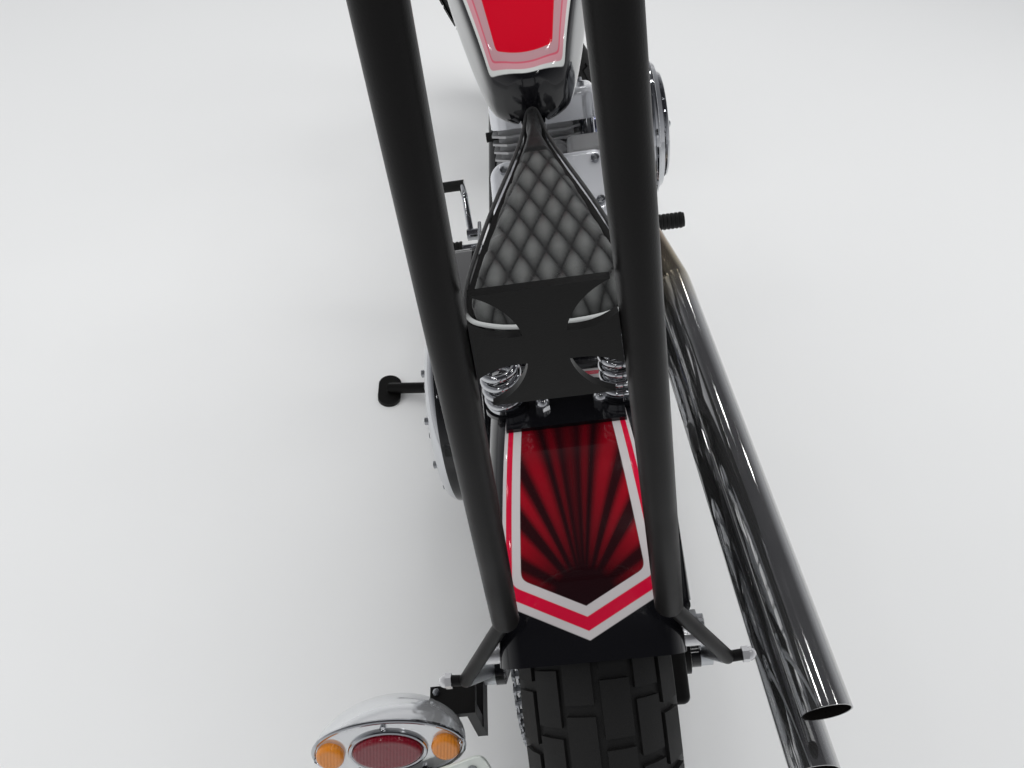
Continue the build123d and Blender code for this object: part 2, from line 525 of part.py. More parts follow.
def engine():
    outline = make_hull([*(Pos(CRANK_X, CRANK_Z) * Edge.make_circle(CASE_R)).edges(),
                         *(Pos(CRANK_X - 64, CRANK_Z + 58) * Edge.make_circle(40)).edges(),
                         *(Pos(CRANK_X + 64, CRANK_Z + 58) * Edge.make_circle(40)).edges()])
    case = fillet(across(outline, CASE_LEFT, CASE_RIGHT).edges(), 8)
    for angle in (-BANK_ANGLE, BANK_ANGLE):
        case += bank(angle, Pos(0, 0, BARREL_FOOT - 30) * Cylinder(54, 60))
    foot_z = RAIL_Z + CROSS_R + SEAT_GAP
    for y in (-45, 45):
        case += block((CRANK_X - 100, y - 14, foot_z), (CRANK_X + 100, y + 14, CRANK_Z - 70), 3)
    cover_shape = make_hull([*(Pos(CRANK_X, CRANK_Z) * Edge.make_circle(70)).edges(),
                             *(Pos(CRANK_X - 42, CRANK_Z + 74) * Edge.make_circle(34)).edges(),
                             *(Pos(CRANK_X + 88, CRANK_Z + 44) * Edge.make_circle(40)).edges()])
    cam_cover = across(cover_shape, CASE_RIGHT, CASE_RIGHT - 42)
    cam_cover = fillet(cam_cover.faces().sort_by(Axis.Y)[0].edges(), 12)
    nose = across(Pos(CRANK_X + 20, CRANK_Z + 6) * Circle(44), CASE_RIGHT - 42, CASE_RIGHT - 52)
    cam_cover += fillet(nose.faces().sort_by(Axis.Y)[0].edges(), 5)
    for x in (CRANK_X - 37, CRANK_X + 37):
        cam_cover += block((x - 32, CASE_RIGHT - 36, CRANK_Z + 60), (x + 32, CASE_RIGHT - 6, CRANK_Z + 112), 4)

    pieces = {"crankcase": case, "cam_cover": cam_cover}
    barrel, head, rocker = cylinder_bank()
    for angle, flip in ((-BANK_ANGLE, False), (BANK_ANGLE, True)):
        for part_name, shape in (("cylinders", barrel), ("cylinder_heads", head), ("rocker_boxes", rocker)):
            placed = bank(angle, mirror(shape, Plane.YZ) if flip else shape)
            pieces[part_name] = pieces[part_name] + placed if flip else placed

    rods = []
    for bank_angle, spread in ((-BANK_ANGLE, -1), (BANK_ANGLE, 1)):
        lean = radians(bank_angle)
        for step in (0, 1):
            foot = Vector(CRANK_X + spread * (20 + 34 * step), CASE_RIGHT - 21, CRANK_Z + 110)
            reach = BARREL_FOOT + BARREL_H + HEAD_H + 8
            aside = spread * (-34 + 28 * step)
            tip = Vector(CRANK_X + sin(lean) * reach + cos(lean) * aside, 16 - ROCKER_REACH,
                         CRANK_Z + cos(lean) * reach - sin(lean) * aside)
            rods.append(bar(foot, tip, 8.5) + bar(foot, foot + (tip - foot) * 0.2, 12))
    rods = fused(*rods) - pieces["cam_cover"] - pieces["rocker_boxes"]
    return pieces | {"pushrod_tubes": rods}


def port_point(side):
    """Middle of an exhaust port's face: side is -1 on the rear head and 1 on the front one."""
    lean = radians(BANK_ANGLE)
    along = side * (sin(lean) * PORT_T + cos(lean) * PORT_OUT)
    return CRANK_X + along, -PORT_FACE, CRANK_Z + cos(lean) * PORT_T - sin(lean) * PORT_OUT


def lengthwise(points, radius, wall, bend):
    """Open exhaust pipe along straight runs joined by arcs."""
    outer = bent(points, radius, bend)
    path = FilletPolyline(*points, radius=bend)
    end = path @ 1
    direction = path % 1
    bore = bar(end - direction * PIPE_OPEN, end + direction * 5, radius - wall)
    return outer - bore


def pipe_runs():
    """Straight runs of the two exhaust pipes, from the ports to the open ends."""
    rear, front = port_point(-1), port_point(1)
    upper = [rear, (rear[0] - 6, rear[1] - 62, rear[2] - 4), (rear[0] - 86, -172, 474), (-155, -216, 448)]
    lower = [front, (front[0] + 10, front[1] - 56, front[2] - 6), (front[0] + 58, -152, 420),
             (front[0] - 30, -166, 322), (-190, -207, 372)]
    return upper, lower


def exhausts():
    """Two straight drag pipes on the right side, one above the other."""
    upper, lower = pipe_runs()
    return lengthwise(upper, PIPE_R, PIPE_WALL, 34) + lengthwise(lower, PIPE_R, PIPE_WALL, [30, 34, 60])


def pipe_mouth(run):
    """Middle of a pipe's open bore, and the direction out of its mouth."""
    end, before = Vector(*run[-1]), Vector(*run[-2])
    out = (end - before).normalized()
    return end - out * (PIPE_OPEN / 2), out


def air_cleaner():
    """Round chrome air cleaner over the carburettor, between the cylinders."""
    place = Pos(CRANK_X - 12, 0, CLEANER_Z)
    shape = place * spun([(CLEANER_IN, 0.01), (CLEANER_IN, CLEANER_R - 8), (CLEANER_IN - 8, CLEANER_R),
                          (CLEANER_OUT + 22, CLEANER_R), (CLEANER_OUT + 8, CLEANER_R - 10),
                          (CLEANER_OUT + 2, CLEANER_R - 30), (CLEANER_OUT, 0.01)])
    lean = radians(BANK_ANGLE)
    inlet_z = CRANK_Z + cos(lean) * INLET_T + sin(lean) * INLET_OUT
    inlet_x = cos(lean) * INLET_OUT - sin(lean) * INLET_T
    body = block((CRANK_X - 28, CLEANER_IN, inlet_z - 24), (CRANK_X + 28, -46, inlet_z + 36), 10)
    body += bar((CRANK_X + inlet_x, INLET_Y, inlet_z), (CRANK_X - inlet_x, INLET_Y, inlet_z), INLET_R)
    body += bar((CRANK_X, INLET_Y, inlet_z), (CRANK_X, -50, inlet_z), INLET_R)
    return {"air_cleaner": shape, "carburettor": body}


# Primary drive, gearbox and oil tank

def drive_side():
    def oval(grow):
        return make_hull([*(Pos(CRANK_X, CRANK_Z) * Edge.make_circle(PRIMARY_NOSE_R + grow)).edges(),
                          *(Pos(CLUTCH_X, CLUTCH_Z) * Edge.make_circle(CLUTCH_R + grow)).edges()])

    cover = across(oval(0), PRIMARY_OUT, PRIMARY_IN)
    cover = fillet(cover.faces().sort_by(Axis.Y)[-1].edges(), 20)
    dome = across(Pos(CLUTCH_X, CLUTCH_Z) * Circle(78), PRIMARY_OUT + 10, PRIMARY_OUT - 1)
    cover += fillet(dome.faces().sort_by(Axis.Y)[-1].edges(), 6)
    back = across(oval(-6), PRIMARY_IN, CASE_LEFT + 34)
    mount = across(Pos(CRANK_X, CRANK_Z) * Circle(PRIMARY_NOSE_R - 20), CASE_LEFT + 34, CASE_LEFT)
    post_x = SEAT_JOINT_X - 12
    gearbox = block((REAR_TYRE_R + 14, -86, 200), (post_x - TUBE_R - 1, 72, 420), 12)
    for y in (-50, 50):
        gearbox += block((post_x - 98, y - 16, RAIL_Z + CROSS_R + SEAT_GAP), (post_x - 24, y + 16, 215), 3)
    shaft = bar((CLUTCH_X + 25, 72, CLUTCH_Z), (CLUTCH_X + 25, CASE_LEFT + 34, CLUTCH_Z), 18)
    pinion = Pos(CLUTCH_X + 25, 0, CLUTCH_Z) * sprocket(PINION_R, 20, CHAIN_Y, 17)
    return {"primary_case": cover + back + mount, "gearbox": gearbox + shaft + pinion}


def oil_tank():
    low, high = (364, -90, 440), (SEAT_JOINT_X - 20, 90, 526)
    shape = block(low, high, 0)
    shape = fillet(shape.edges().filter_by(Axis.Y), 30)
    shape = fillet(shape.faces().sort_by(Axis.Y)[0].edges(), 8)
    shape = fillet(shape.faces().sort_by(Axis.Y)[-1].edges(), 8)
    feet = block((385, -45, 420), (415, 45, 445))
    return shape + feet + Pos(404, -58, 530) * Cylinder(16, 16)


# Fuel tank

def fuel_tank():
    """Teardrop tank over the backbone, widest ahead of its middle."""
    stations = [
        # x, width, top z, bottom drop below the backbone
        (586.0, 66.0, 742.0, -8.0),
        (602.0, 112.0, 757.0, 4.0),
        (650.0, 178.0, 786.0, 16.0),
        (735.0, 230.0, 826.0, 24.0),
        (840.0, 236.0, 862.0, 26.0),
        (945.0, 186.0, 880.0, 22.0),
        (1010.0, 104.0, 884.0, 6.0),
        (1024.0, 60.0, 880.0, -6.0),
    ]
    sections = []
    for x, width, top, drop in stations:
        bottom = backbone_z(x) - drop
        height = top - bottom
        plane = Plane(origin=(x, 0, (top + bottom) / 2), x_dir=(0, 1, 0), z_dir=(1, 0, 0))
        sections.append(plane * RectangleRounded(width, height, 0.42 * min(width, height)))
    tank = loft(sections)
    tunnel = bar((SEAT_JOINT_X, 0, SEAT_JOINT_Z), (NECK_X, 0, NECK_Z), BACKBONE_R + TANK_WALL_GAP)
    tunnel += bar((SEAT_JOINT_X, 0, SEAT_JOINT_Z - 34), (NECK_X, 0, NECK_Z - 34), BACKBONE_R + TANK_WALL_GAP)
    tank -= tunnel
    cap = Pos(905, -48, 886) * Cylinder(29, 20)
    return tank, cap - tank


# Seat

def seat_place(shape):
    """Lay a shape drawn on the flat at the seat nose onto the tilted seat."""
    return Pos(SEAT_NOSE_X, 0, SEAT_NOSE_Z) * Rot(0, SEAT_TILT, 0) * shape


def seat_outline(grow=0.0):
    """Plan of the narrow solo seat, its nose at the origin and pointing along +X."""
    half = [
        (0 + grow, 0), (-12, 9 + grow), (-80, 16 + grow), (-160, 35 + grow), (-240, 56 + grow),
        (-312, 72 + grow), (-385, 86 + grow), (-432, SEAT_HALF + grow), (-458 - grow * 0.4, 82 + grow),
        (18 - SEAT_LENGTH - grow * 0.7, 68 + grow * 0.7), (-SEAT_LENGTH - grow, 38), (-SEAT_LENGTH - grow, 0),
    ]
    left = [Vector(x, y) for x, y in half]
    right = [Vector(x, -y) for x, y in reversed(half[1:-1])]
    return make_face(Polyline(*left, *right, close=True))


def seat():
    pan = extrude(seat_outline(), amount=SEAT_PAN_T)
    pad = extrude(Pos(0, 0, SEAT_PAN_T + SEAT_GAP) * seat_outline(-2.0), amount=SEAT_PAD_T)
    pad = chamfer(pad.faces().sort_by(Axis.Z)[-1].edges(), 7.0)
    springs = []
    foot_z = REAR_TYRE_R + sqrt((FENDER_R + STRAP_T) ** 2 - (SPRING_X - SPRING_R - 6) ** 2) + 0.5
    pan_z = SEAT_NOSE_Z + (SEAT_NOSE_X - SPRING_X) * tan(radians(SEAT_TILT))
    height = pan_z - foot_z - 2.4
    turns = 4
    for y in (-SPRING_Y, SPRING_Y):
        coil = Helix(pitch=(height - 2 * WIRE_R) / turns, height=height - 2 * WIRE_R, radius=SPRING_R,
                     center=(SPRING_X, y, foot_z + WIRE_R))
        wire = sweep(Plane(origin=coil @ 0, z_dir=coil % 0) * Circle(WIRE_R), path=coil, is_frenet=True)
        end_r, end_t = SPRING_R + WIRE_R - 0.4, 2 * WIRE_R - 0.6
        ends = Pos(SPRING_X, y, foot_z + WIRE_R) * Cylinder(end_r, end_t)
        ends += Pos(SPRING_X, y, foot_z + height - WIRE_R) * Cylinder(end_r, end_t)
        springs.append(wire + ends)
    wheel_space = bar((0, -120, REAR_TYRE_R), (0, 120, REAR_TYRE_R), FENDER_R + SEAT_GAP)
    strap = Pos(0, 0, REAR_TYRE_R) * revolve(
        Rot(0, 10, 0) * (Plane.YZ * (Pos(0, FENDER_R + STRAP_T / 2) * Rectangle(2 * FENDER_HALF - 40, STRAP_T))),
        Axis.Y, 12)
    for y in (-SPRING_Y, SPRING_Y):
        strap += Pos(SPRING_X, y, foot_z - 15 - SEAT_GAP) * Cylinder(SPRING_R + 5, 30)
    strap -= wheel_space
    hinge = block((SEAT_NOSE_X - 70, -14, backbone_z(SEAT_NOSE_X - 40) - 10), (SEAT_NOSE_X - 40, 14, SEAT_NOSE_Z + 20))
    hinge -= bar((SEAT_JOINT_X, 0, SEAT_JOINT_Z), (NECK_X, 0, NECK_Z), BACKBONE_R + SEAT_GAP)
    under = seat_place(extrude(seat_outline(60.0), amount=200))
    return {"seat_pan": seat_place(pan) + (hinge - under), "seat_pad": seat_place(pad),
            "seat_springs": fused(*springs), "spring_strap": strap}


# Rear fender, sissy bar and tail light

def fender_section():
    """Flat-topped fender section in (y, radius), a thin wall open towards the tyre."""
    corner = 22.0

    def outline(half, top, skirt, bend):
        return [
            Line((-half, skirt), (-half, top - bend)),
            RadiusArc((-half, top - bend), (-half + bend, top), bend, short_sagitta=True),
            Line((-half + bend, top), (half - bend, top)),
            RadiusArc((half - bend, top), (half, top - bend), bend, short_sagitta=True),
            Line((half, top - bend), (half, skirt)),
            Line((half, skirt), (-half, skirt)),
        ]

    low = FENDER_R - FENDER_SKIRT
    outer = make_face(outline(FENDER_HALF, FENDER_R, low, corner))
    inner = make_face(outline(FENDER_HALF - FENDER_WALL, FENDER_R - FENDER_WALL, low - 5, corner - FENDER_WALL))
    return outer - inner


def fender():
    """Bobbed fender over the top of the rear wheel."""
    section = Rot(0, 90 - FENDER_TO, 0) * (Plane.YZ * fender_section())
    shell = revolve(section, Axis.Y, FENDER_TO - FENDER_FROM)
    return Pos(0, 0, REAR_TYRE_R) * shell


def sissy_x(z):
    """X of the sissy bar's legs at a height."""
    return -140.7 + (z - 486) * 26.1 / 675


def sissy_y(z):
    """Distance of each leg of the sissy bar from the middle at a height."""
    return 74.0 - (z - 486) * 34.0 / 675


def sissy_bar():
    """Tall hoop of tube whose solid lower rods spread round the fender to the axle plates."""
    shoulder = SISSY_TOP - 45
    half = [(sissy_x(SISSY_FOOT_Z), sissy_y(SISSY_FOOT_Z), SISSY_FOOT_Z),
            (sissy_x(shoulder), sissy_y(shoulder), shoulder),
            (sissy_x(SISSY_TOP), 0.4 * sissy_y(shoulder), SISSY_TOP), (sissy_x(SISSY_TOP), 0, SISSY_TOP)]
    hoop = bent(half, SISSY_R, 18)
    rod = bent([(sissy_x(SISSY_FOOT_Z + 20), sissy_y(SISSY_FOOT_Z + 20), SISSY_FOOT_Z + 20),
                (sissy_x(SISSY_FOOT_Z - 2), sissy_y(SISSY_FOOT_Z - 2) + 1, SISSY_FOOT_Z - 2),
                SISSY_KNEE, SISSY_PAD], SISSY_ROD_R, 14)
    eye = bar((SISSY_PAD[0], PLATE_Y + PLATE_T, SISSY_PAD[2]), (SISSY_PAD[0], EYE_OUT, SISSY_PAD[2]), 14)
    post = bar((STAND_OFF[0], FENDER_HALF, STAND_OFF[2]), STAND_OFF, 5)
    stud = bar(SISSY_KNEE, (SISSY_KNEE[0] + 1.5, SISSY_KNEE[1] + 14, SISSY_KNEE[2] - 1.5), 5)
    side = fused(hoop, rod, eye, post, stud)
    return side + mirrored(side)


def cross_plate():
    """Flared cross between the sissy bar's legs, the ends of its side arms along the tubes."""
    (flare_w, half_h), (notch_y, notch_z), side_h = CROSS_FLARE, CROSS_NOTCH, CROSS_SIDE
    high_w = sissy_y(CROSS_Z + side_h) - SISSY_R - SEAT_GAP
    low_w = sissy_y(CROSS_Z - side_h) - SISSY_R - SEAT_GAP
    edges = [Line((-flare_w, half_h), (flare_w, half_h)), Line((-flare_w, -half_h), (flare_w, -half_h))]
    for side in (-1, 1):
        edges.append(Line((side * high_w, side_h), (side * low_w, -side_h)))
        for up, end in ((1, high_w), (-1, low_w)):
            notch = (side * notch_y, up * notch_z)
            edges.append(ThreePointArc((side * flare_w, up * half_h), (side * 18, up * 27.5), notch))
            edges.append(ThreePointArc(notch, (side * 25, up * 11.5), (side * end, up * side_h)))
    plane = Plane(origin=(sissy_x(CROSS_Z) - CROSS_T / 2, 0, CROSS_Z), x_dir=(0, 1, 0), z_dir=(1, 0, 0))
    return extrude(plane * make_face(edges), amount=CROSS_T)


def tail_light():
    """Side-mounted tail light in a domed hood with two turn lamps, over a blank number plate."""
    def face_plane(x, y=0.0):
        return Plane(origin=(x, y, 0), x_dir=(0, 1, 0), z_dir=(1, 0, 0))

    place = Pos(*LAMP_AT) * Rot(0, LAMP_TILT, 0)
    rings = [face_plane(LAMP_DEPTH * sin(radians(turn)))
             * Ellipse(LAMP_HALF * cos(radians(turn)), LAMP_RISE * cos(radians(turn))) for turn in (0, 25, 48, 68)]
    hood = loft(rings) + extrude(rings[0], amount=-3)
    red = extrude(face_plane(-3 - LENS_T) * Ellipse(LENS_HALF, LENS_RISE), amount=LENS_T)
    red = fillet(red.faces().sort_by(Axis.X)[0].edges(), 5)
    ambers = []
    for side_y in (-TURN_LAMP_Y, TURN_LAMP_Y):
        lamp = extrude(face_plane(-3 - LENS_T, side_y) * Circle(TURN_LAMP_R), amount=LENS_T)
        ambers.append(fillet(lamp.faces().sort_by(Axis.X)[0].edges(), 5))
    plate_x = -3 - LENS_T - 1
    plate = block((plate_x - PLATE_SHEET, -PLATE_W / 2, -PLATE_H / 2), (plate_x, PLATE_W / 2, PLATE_H / 2))
    plate = fillet(plate.edges().filter_by(Axis.X), 10)
    plate = Pos(0, *PLATE_AT) * Rot(PLATE_ROLL, 0, 0) * plate
    holder = block((plate_x, -62, PLATE_AT[1] - 28), (plate_x + 4, 8, -LAMP_RISE - 8))
    holder += block((plate_x, -40, -LAMP_RISE - 16), (16, -16, -LAMP_RISE + 8))
    holder = place * (holder - hood)
    hood = place * hood
    x, y, z = LAMP_AT
    pad_y = EYE_OUT
    arm = block((x + 28, pad_y + 1, z - 14), (x + 58, y - 40, z - 4))
    arm += block((x + 28, pad_y + 1, SISSY_PAD[2] - 16), (x + 40, pad_y + 11, z - 4))
    arm += block((x + 28, pad_y, SISSY_PAD[2] - 16), (SISSY_PAD[0] + 14, pad_y + 8, SISSY_PAD[2] + 14))
    return {"tail_light_hood": hood, "tail_light_lens": place * red, "turn_lamp_lenses": place * fused(*ambers),
            "number_plate": place * plate, "tail_light_bracket": holder + (arm - hood)}


# Side stand, foot controls and small brackets

def stand_foot():
    """Point on the floor where the stand's foot rests, out to the left and a little ahead."""
    lean = radians(LEAN)
    reach_x, reach_y = 52.0, 222.0
    low = (1 - cos(lean)) * REAR_TYRE_W / 2
    y = STAND_PIVOT[1] + reach_y
    z = (y * sin(lean) - low) / cos(lean)
    return Vector(STAND_PIVOT[0] + reach_x, y, z)


def stand_axis():
    """Hinge axis of the stand, square to the leg both down and folded back."""
    down = (stand_foot() - Vector(*STAND_PIVOT)).normalized()
    back = Vector(-1, 0.05, 0.0).normalized()
    return back.cross(down).normalized()


def side_stand():
    """Bent leg with a flat foot, on a pin in the frame's lug."""
    lean = radians(LEAN)
    pivot, foot = Vector(*STAND_PIVOT), stand_foot()
    floor_up = Vector(0, -sin(lean), cos(lean))
    sole = foot + floor_up * 4
    axis = stand_axis()
    leg = bar(pivot, foot + floor_up * 13, STAND_R)
    knuckle = bar(pivot - axis * KNUCKLE_HALF, pivot + axis * KNUCKLE_HALF, KNUCKLE_R)
    pad_plane = Plane(origin=foot, x_dir=(1, 0, 0), z_dir=floor_up)
    pad = extrude(pad_plane * SlotOverall(78, 46), amount=9)
    leg += knuckle
    leg += pad
    leg -= extrude(Plane(origin=foot - floor_up * 60, x_dir=(1, 0, 0), z_dir=floor_up) * Rectangle(300, 300), amount=60)
    leg -= bar(pivot - axis * 30, pivot + axis * 30, STAND_PIN_R + PIN_GAP)
    return leg


def stand_lug():
    """Two ears welded under the left frame rail, with the stand's pin through them."""
    pivot, axis = Vector(*STAND_PIVOT), stand_axis()
    whole = bar(pivot - axis * (EAR_OUT + 2), pivot + axis * (EAR_OUT + 2), STAND_PIN_R)
    web_r, web_out = 9.0, 32.0
    ear_outline = make_hull([*Edge.make_circle(KNUCKLE_R).edges(), *(Pos(web_out, 0) * Edge.make_circle(web_r)).edges()])
    plane = Plane(origin=pivot, x_dir=(0.75, -0.66, 0), z_dir=axis)
    for start in (-EAR_OUT, EAR_IN):
        whole += extrude(plane.offset(start) * ear_outline, amount=EAR_OUT - EAR_IN)
    web = extrude(plane.offset(-EAR_OUT - 12) * (Pos(web_out, 0) * Circle(web_r)), amount=2 * EAR_OUT + 12)
    return whole + web


def forward_controls():
    """Foot pegs, brake pedal and shift lever on plates ahead of the engine."""
    x, z = CRANK_X + 262, RAIL_Z + 78
    pegs, pedals = [], []
    for side in (-1, 1):
        inner = side * (RAIL_Y + TUBE_R)
        tube_x = x - 30
        plate = block((tube_x - 60, min(inner, inner + side * 8), z - 88),
                      (tube_x + 44, max(inner, inner + side * 8), z + 30), 3)
        outer = inner + side * 8
        peg = bar((x, outer, z - 28), (x, outer + side * 40, z - 28), 9)
        rubber = bar((x, outer + side * 40, z - 28), (x, outer + side * 135, z - 28), 15)
        arm = bent([(x - 6, outer + side * 16, z + 12), (x + 70, outer + side * 22, z + 60),
                    (x + 120, outer + side * 30, z + 52)], 7, 30)
        hubs = bar((x - 6, outer, z + 12), (x - 6, outer + side * 24, z + 12), 12)
        toe = bar((x + 118, outer + side * 24, z + 52), (x + 118, outer + side * 84, z + 52), 10)
        pegs.append(plate + peg + rubber)
        pedals.append(fused(arm, hubs, toe))
    return {"foot_pegs": fused(*pegs), "foot_levers": fused(*pedals)}


def build():
    """Every piece, still upright, grouped by the body it moves with."""
    axle_place = Pos(0, 0, REAR_TYRE_R)
    tank, cap = fuel_tank()
    frame = {
        "frame": frame_tubes() + stand_lug(),
        "rear_axle": axle_place * rear_axle(),
        "rear_caliper": axle_place * rear_caliper(),
        "rear_fender": fender(),
        "sissy_bar": sissy_bar(),
        "cross_plate": cross_plate(),
        "fuel_tank": tank,
        "tank_cap": cap,
        "oil_tank": oil_tank(),
        "drive_chain": drive_chain(),
    }
    motor, intake = engine(), air_cleaner()
    intake["carburettor"] -= motor["cylinder_heads"]
    frame["exhaust_pipes"] = exhausts() - motor["cylinder_heads"]
    frame |= motor | intake | drive_side() | tail_light() | seat() | forward_controls()
    rear = {name: axle_place * shape for name, shape in rear_wheel().items()}
    fork_pieces, drop = fork()
    fork_pieces |= handlebar()
    fork_pieces["front_caliper"] = Pos(FORK_OFFSET, 0, -drop) * front_caliper()
    return {"frame": frame, "rear_wheel": rear, "fork": fork_pieces, "front_wheel": front_wheel(drop),
            "stand": {"side_stand": side_stand()}}


def parked(body, shape):
    """Turn the steering to its left stop, then lean the bike on its stand."""
    if body in ("fork", "front_wheel"):
        shape = rake_place(Rot(0, 0, STEER_STOP) * shape)
    return Rot(-LEAN, 0, 0) * shape


def joint_frames(origin):
    """Joint positions and axes of the parked bike, in the finished part's own frame."""
    middle, up = steering_axis()
    drop = fork_drop()
    steer = Rot(0, 0, STEER_STOP)
    hub_point = (rake_place(steer * Pos(FORK_OFFSET, 0, -drop))).position
    hub_side = (rake_place(steer * Pos(FORK_OFFSET, 100, -drop))).position
    rows = {
        "steering": (middle, up),
        "rear_wheel_spin": (Vector(0, 0, REAR_TYRE_R), Vector(0, 1, 0)),
        "front_wheel_spin": (hub_point, (hub_side - hub_point).normalized()),
        "side_stand_fold": (Vector(*STAND_PIVOT), stand_axis()),
        "upper_pipe_mouth": pipe_mouth(pipe_runs()[0]),
        "lower_pipe_mouth": pipe_mouth(pipe_runs()[1]),
    }
    lean = Rot(-LEAN, 0, 0)
    placed = {}
    for name, (point, direction) in rows.items():
        start = (lean * Pos(*point)).position
        end = (lean * Pos(*(point + direction * 100))).position
        placed[name] = (start - origin, (end - start).normalized())
    return placed


def main():
    os.makedirs("parts", exist_ok=True)
    bodies = build()
    placed = {body: {name: parked(body, shape) for name, shape in pieces.items()}
              for body, pieces in bodies.items()}
    boxes = [shape.bounding_box() for pieces in placed.values() for shape in pieces.values()]
    low = [min(tuple(box.min)[k] for box in boxes) for k in range(3)]
    high = [max(tuple(box.max)[k] for box in boxes) for k in range(3)]
    origin = Vector((low[0] + high[0]) / 2, (low[1] + high[1]) / 2, low[2])
    for pieces in placed.values():
        for name, shape in pieces.items():
            export_step(Pos(*(-origin)) * shape, f"parts/{name}.step")
    print("origin", tuple(origin), "size", [h - l for l, h in zip(low, high)])
    for name, (point, direction) in joint_frames(origin).items():
        print(name, [round(v / 1000, 6) for v in tuple(point)], [round(v, 6) for v in tuple(direction)])


if __name__ == "__main__":
    main()
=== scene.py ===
from functools import partial
from math import acos, atan2, copysign, cos, degrees, exp, hypot, pi, radians, sin, tau
import bmesh
import bpy
from mathutils import Matrix, Vector


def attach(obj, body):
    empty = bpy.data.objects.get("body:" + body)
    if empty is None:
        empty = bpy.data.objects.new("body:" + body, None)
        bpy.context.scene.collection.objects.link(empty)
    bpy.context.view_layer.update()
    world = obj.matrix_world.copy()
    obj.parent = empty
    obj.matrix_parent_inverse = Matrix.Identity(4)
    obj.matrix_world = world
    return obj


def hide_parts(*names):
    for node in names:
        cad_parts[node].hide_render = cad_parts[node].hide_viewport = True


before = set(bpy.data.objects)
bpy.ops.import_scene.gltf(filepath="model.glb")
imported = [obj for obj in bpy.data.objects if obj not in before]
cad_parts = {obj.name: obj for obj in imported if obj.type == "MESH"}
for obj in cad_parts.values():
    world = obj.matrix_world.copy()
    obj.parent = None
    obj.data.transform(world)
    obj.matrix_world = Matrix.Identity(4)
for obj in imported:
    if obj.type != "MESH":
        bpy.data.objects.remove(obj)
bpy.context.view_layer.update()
scene = bpy.context.scene

# Photo view.
# The bike is seen from above and behind its tail light, looking forward and down along it,
# turned a few degrees off level.
camera = bpy.data.objects.new("photo_camera", bpy.data.cameras.new("photo_camera"))
camera.location = (-1.1885926, 0.14513467, 1.23398133)
camera.rotation_euler = (radians(41.262964), radians(-4.643995), radians(-92.264899))
camera.data.lens = 27.41484
camera.data.sensor_width = 36
camera.data.clip_start = 0.02
scene.collection.objects.link(camera)
scene.camera = camera
scene.view_settings.view_transform = "Standard"

# Floor and light.
# A plain pale floor and a surround that is pale at the horizon and darker overhead, lit softly from above
# and from both sides. Only the front lamp and the small ceiling lamps show as highlights.


def finish(name, color, metallic=0.0, roughness=0.4, fixed=None):
    """A finish with its constant values on the shader's own sockets."""
    material = bpy.data.materials.new(name)
    material.use_nodes = True
    shader = material.node_tree.nodes["Principled BSDF"]
    values = {"Base Color": (*color, 1.0), "Metallic": metallic, "Roughness": roughness, **(fixed or {})}
    for socket, value in values.items():
        shader.inputs[socket].default_value = value
    return material


def node(owner, kind, inputs=None, **settings):
    """A shader node with its inputs set to values or joined to other nodes."""
    made = owner.node_tree.nodes.new("ShaderNode" + kind)
    for key, value in settings.items():
        setattr(made, key, value)
    for key, value in (inputs or {}).items():
        if isinstance(value, bpy.types.NodeSocket):
            owner.node_tree.links.new(value, made.inputs[key])
        else:
            made.inputs[key].default_value = value
    return made


def calc(owner, operation, first, second=0.0, third=0.0):
    """A number worked out from one to three others."""
    return node(owner, "Math", {0: first, 1: second, 2: third}, operation=operation).outputs[0]


def ramp(owner, share, stops, interpolation="LINEAR"):
    """The colour at a share from 0 to 1, each stop being (where, its colour)."""
    made = node(owner, "ValToRGB", {"Fac": share})
    made.color_ramp.interpolation = interpolation
    elements = made.color_ramp.elements
    elements.remove(elements[-1])
    for number, (where, color) in enumerate(stops):
        stop = elements.new(where) if number else elements[0]
        stop.position, stop.color = where, (*color, 1.0)
    return made.outputs[0]


floor_finish = finish("pale_floor", (0.80, 0.80, 0.79), roughness=0.85)
floor_mesh = bmesh.new()
bmesh.ops.create_grid(floor_mesh, x_segments=1, y_segments=1, size=60)
floor_data = bpy.data.meshes.new("floor")
floor_mesh.to_mesh(floor_data)
floor_mesh.free()
floor_data.materials.append(floor_finish)
floor = bpy.data.objects.new("floor", floor_data)
scene.collection.objects.link(floor)

surround = bpy.data.worlds.new("pale_surround")
surround.use_nodes = True
scene.world = surround
height = node(surround, "SeparateXYZ", {0: node(surround, "TexCoord").outputs["Generated"]}).outputs[2]
sky = ramp(surround, height, ((0.0, (0.62, 0.62, 0.63)), (0.3, (0.38, 0.385, 0.40)),
                              (0.75, (0.04, 0.04, 0.045))))
seen = surround.node_tree.nodes["Background"]
surround.node_tree.links.new(sky, seen.inputs[0])
soft = node(surround, "Background", {0: (0.55, 0.56, 0.58, 1)})
ray = node(surround, "LightPath").outputs
shown = calc(surround, "MAXIMUM", ray["Is Camera Ray"], ray["Is Glossy Ray"])
shown = calc(surround, "MAXIMUM", shown, ray["Is Transmission Ray"])
choice = node(surround, "MixShader", {0: shown, 1: soft.outputs[0], 2: seen.outputs[0]})
surround.node_tree.links.new(choice.outputs[0], surround.node_tree.nodes["World Output"].inputs[0])

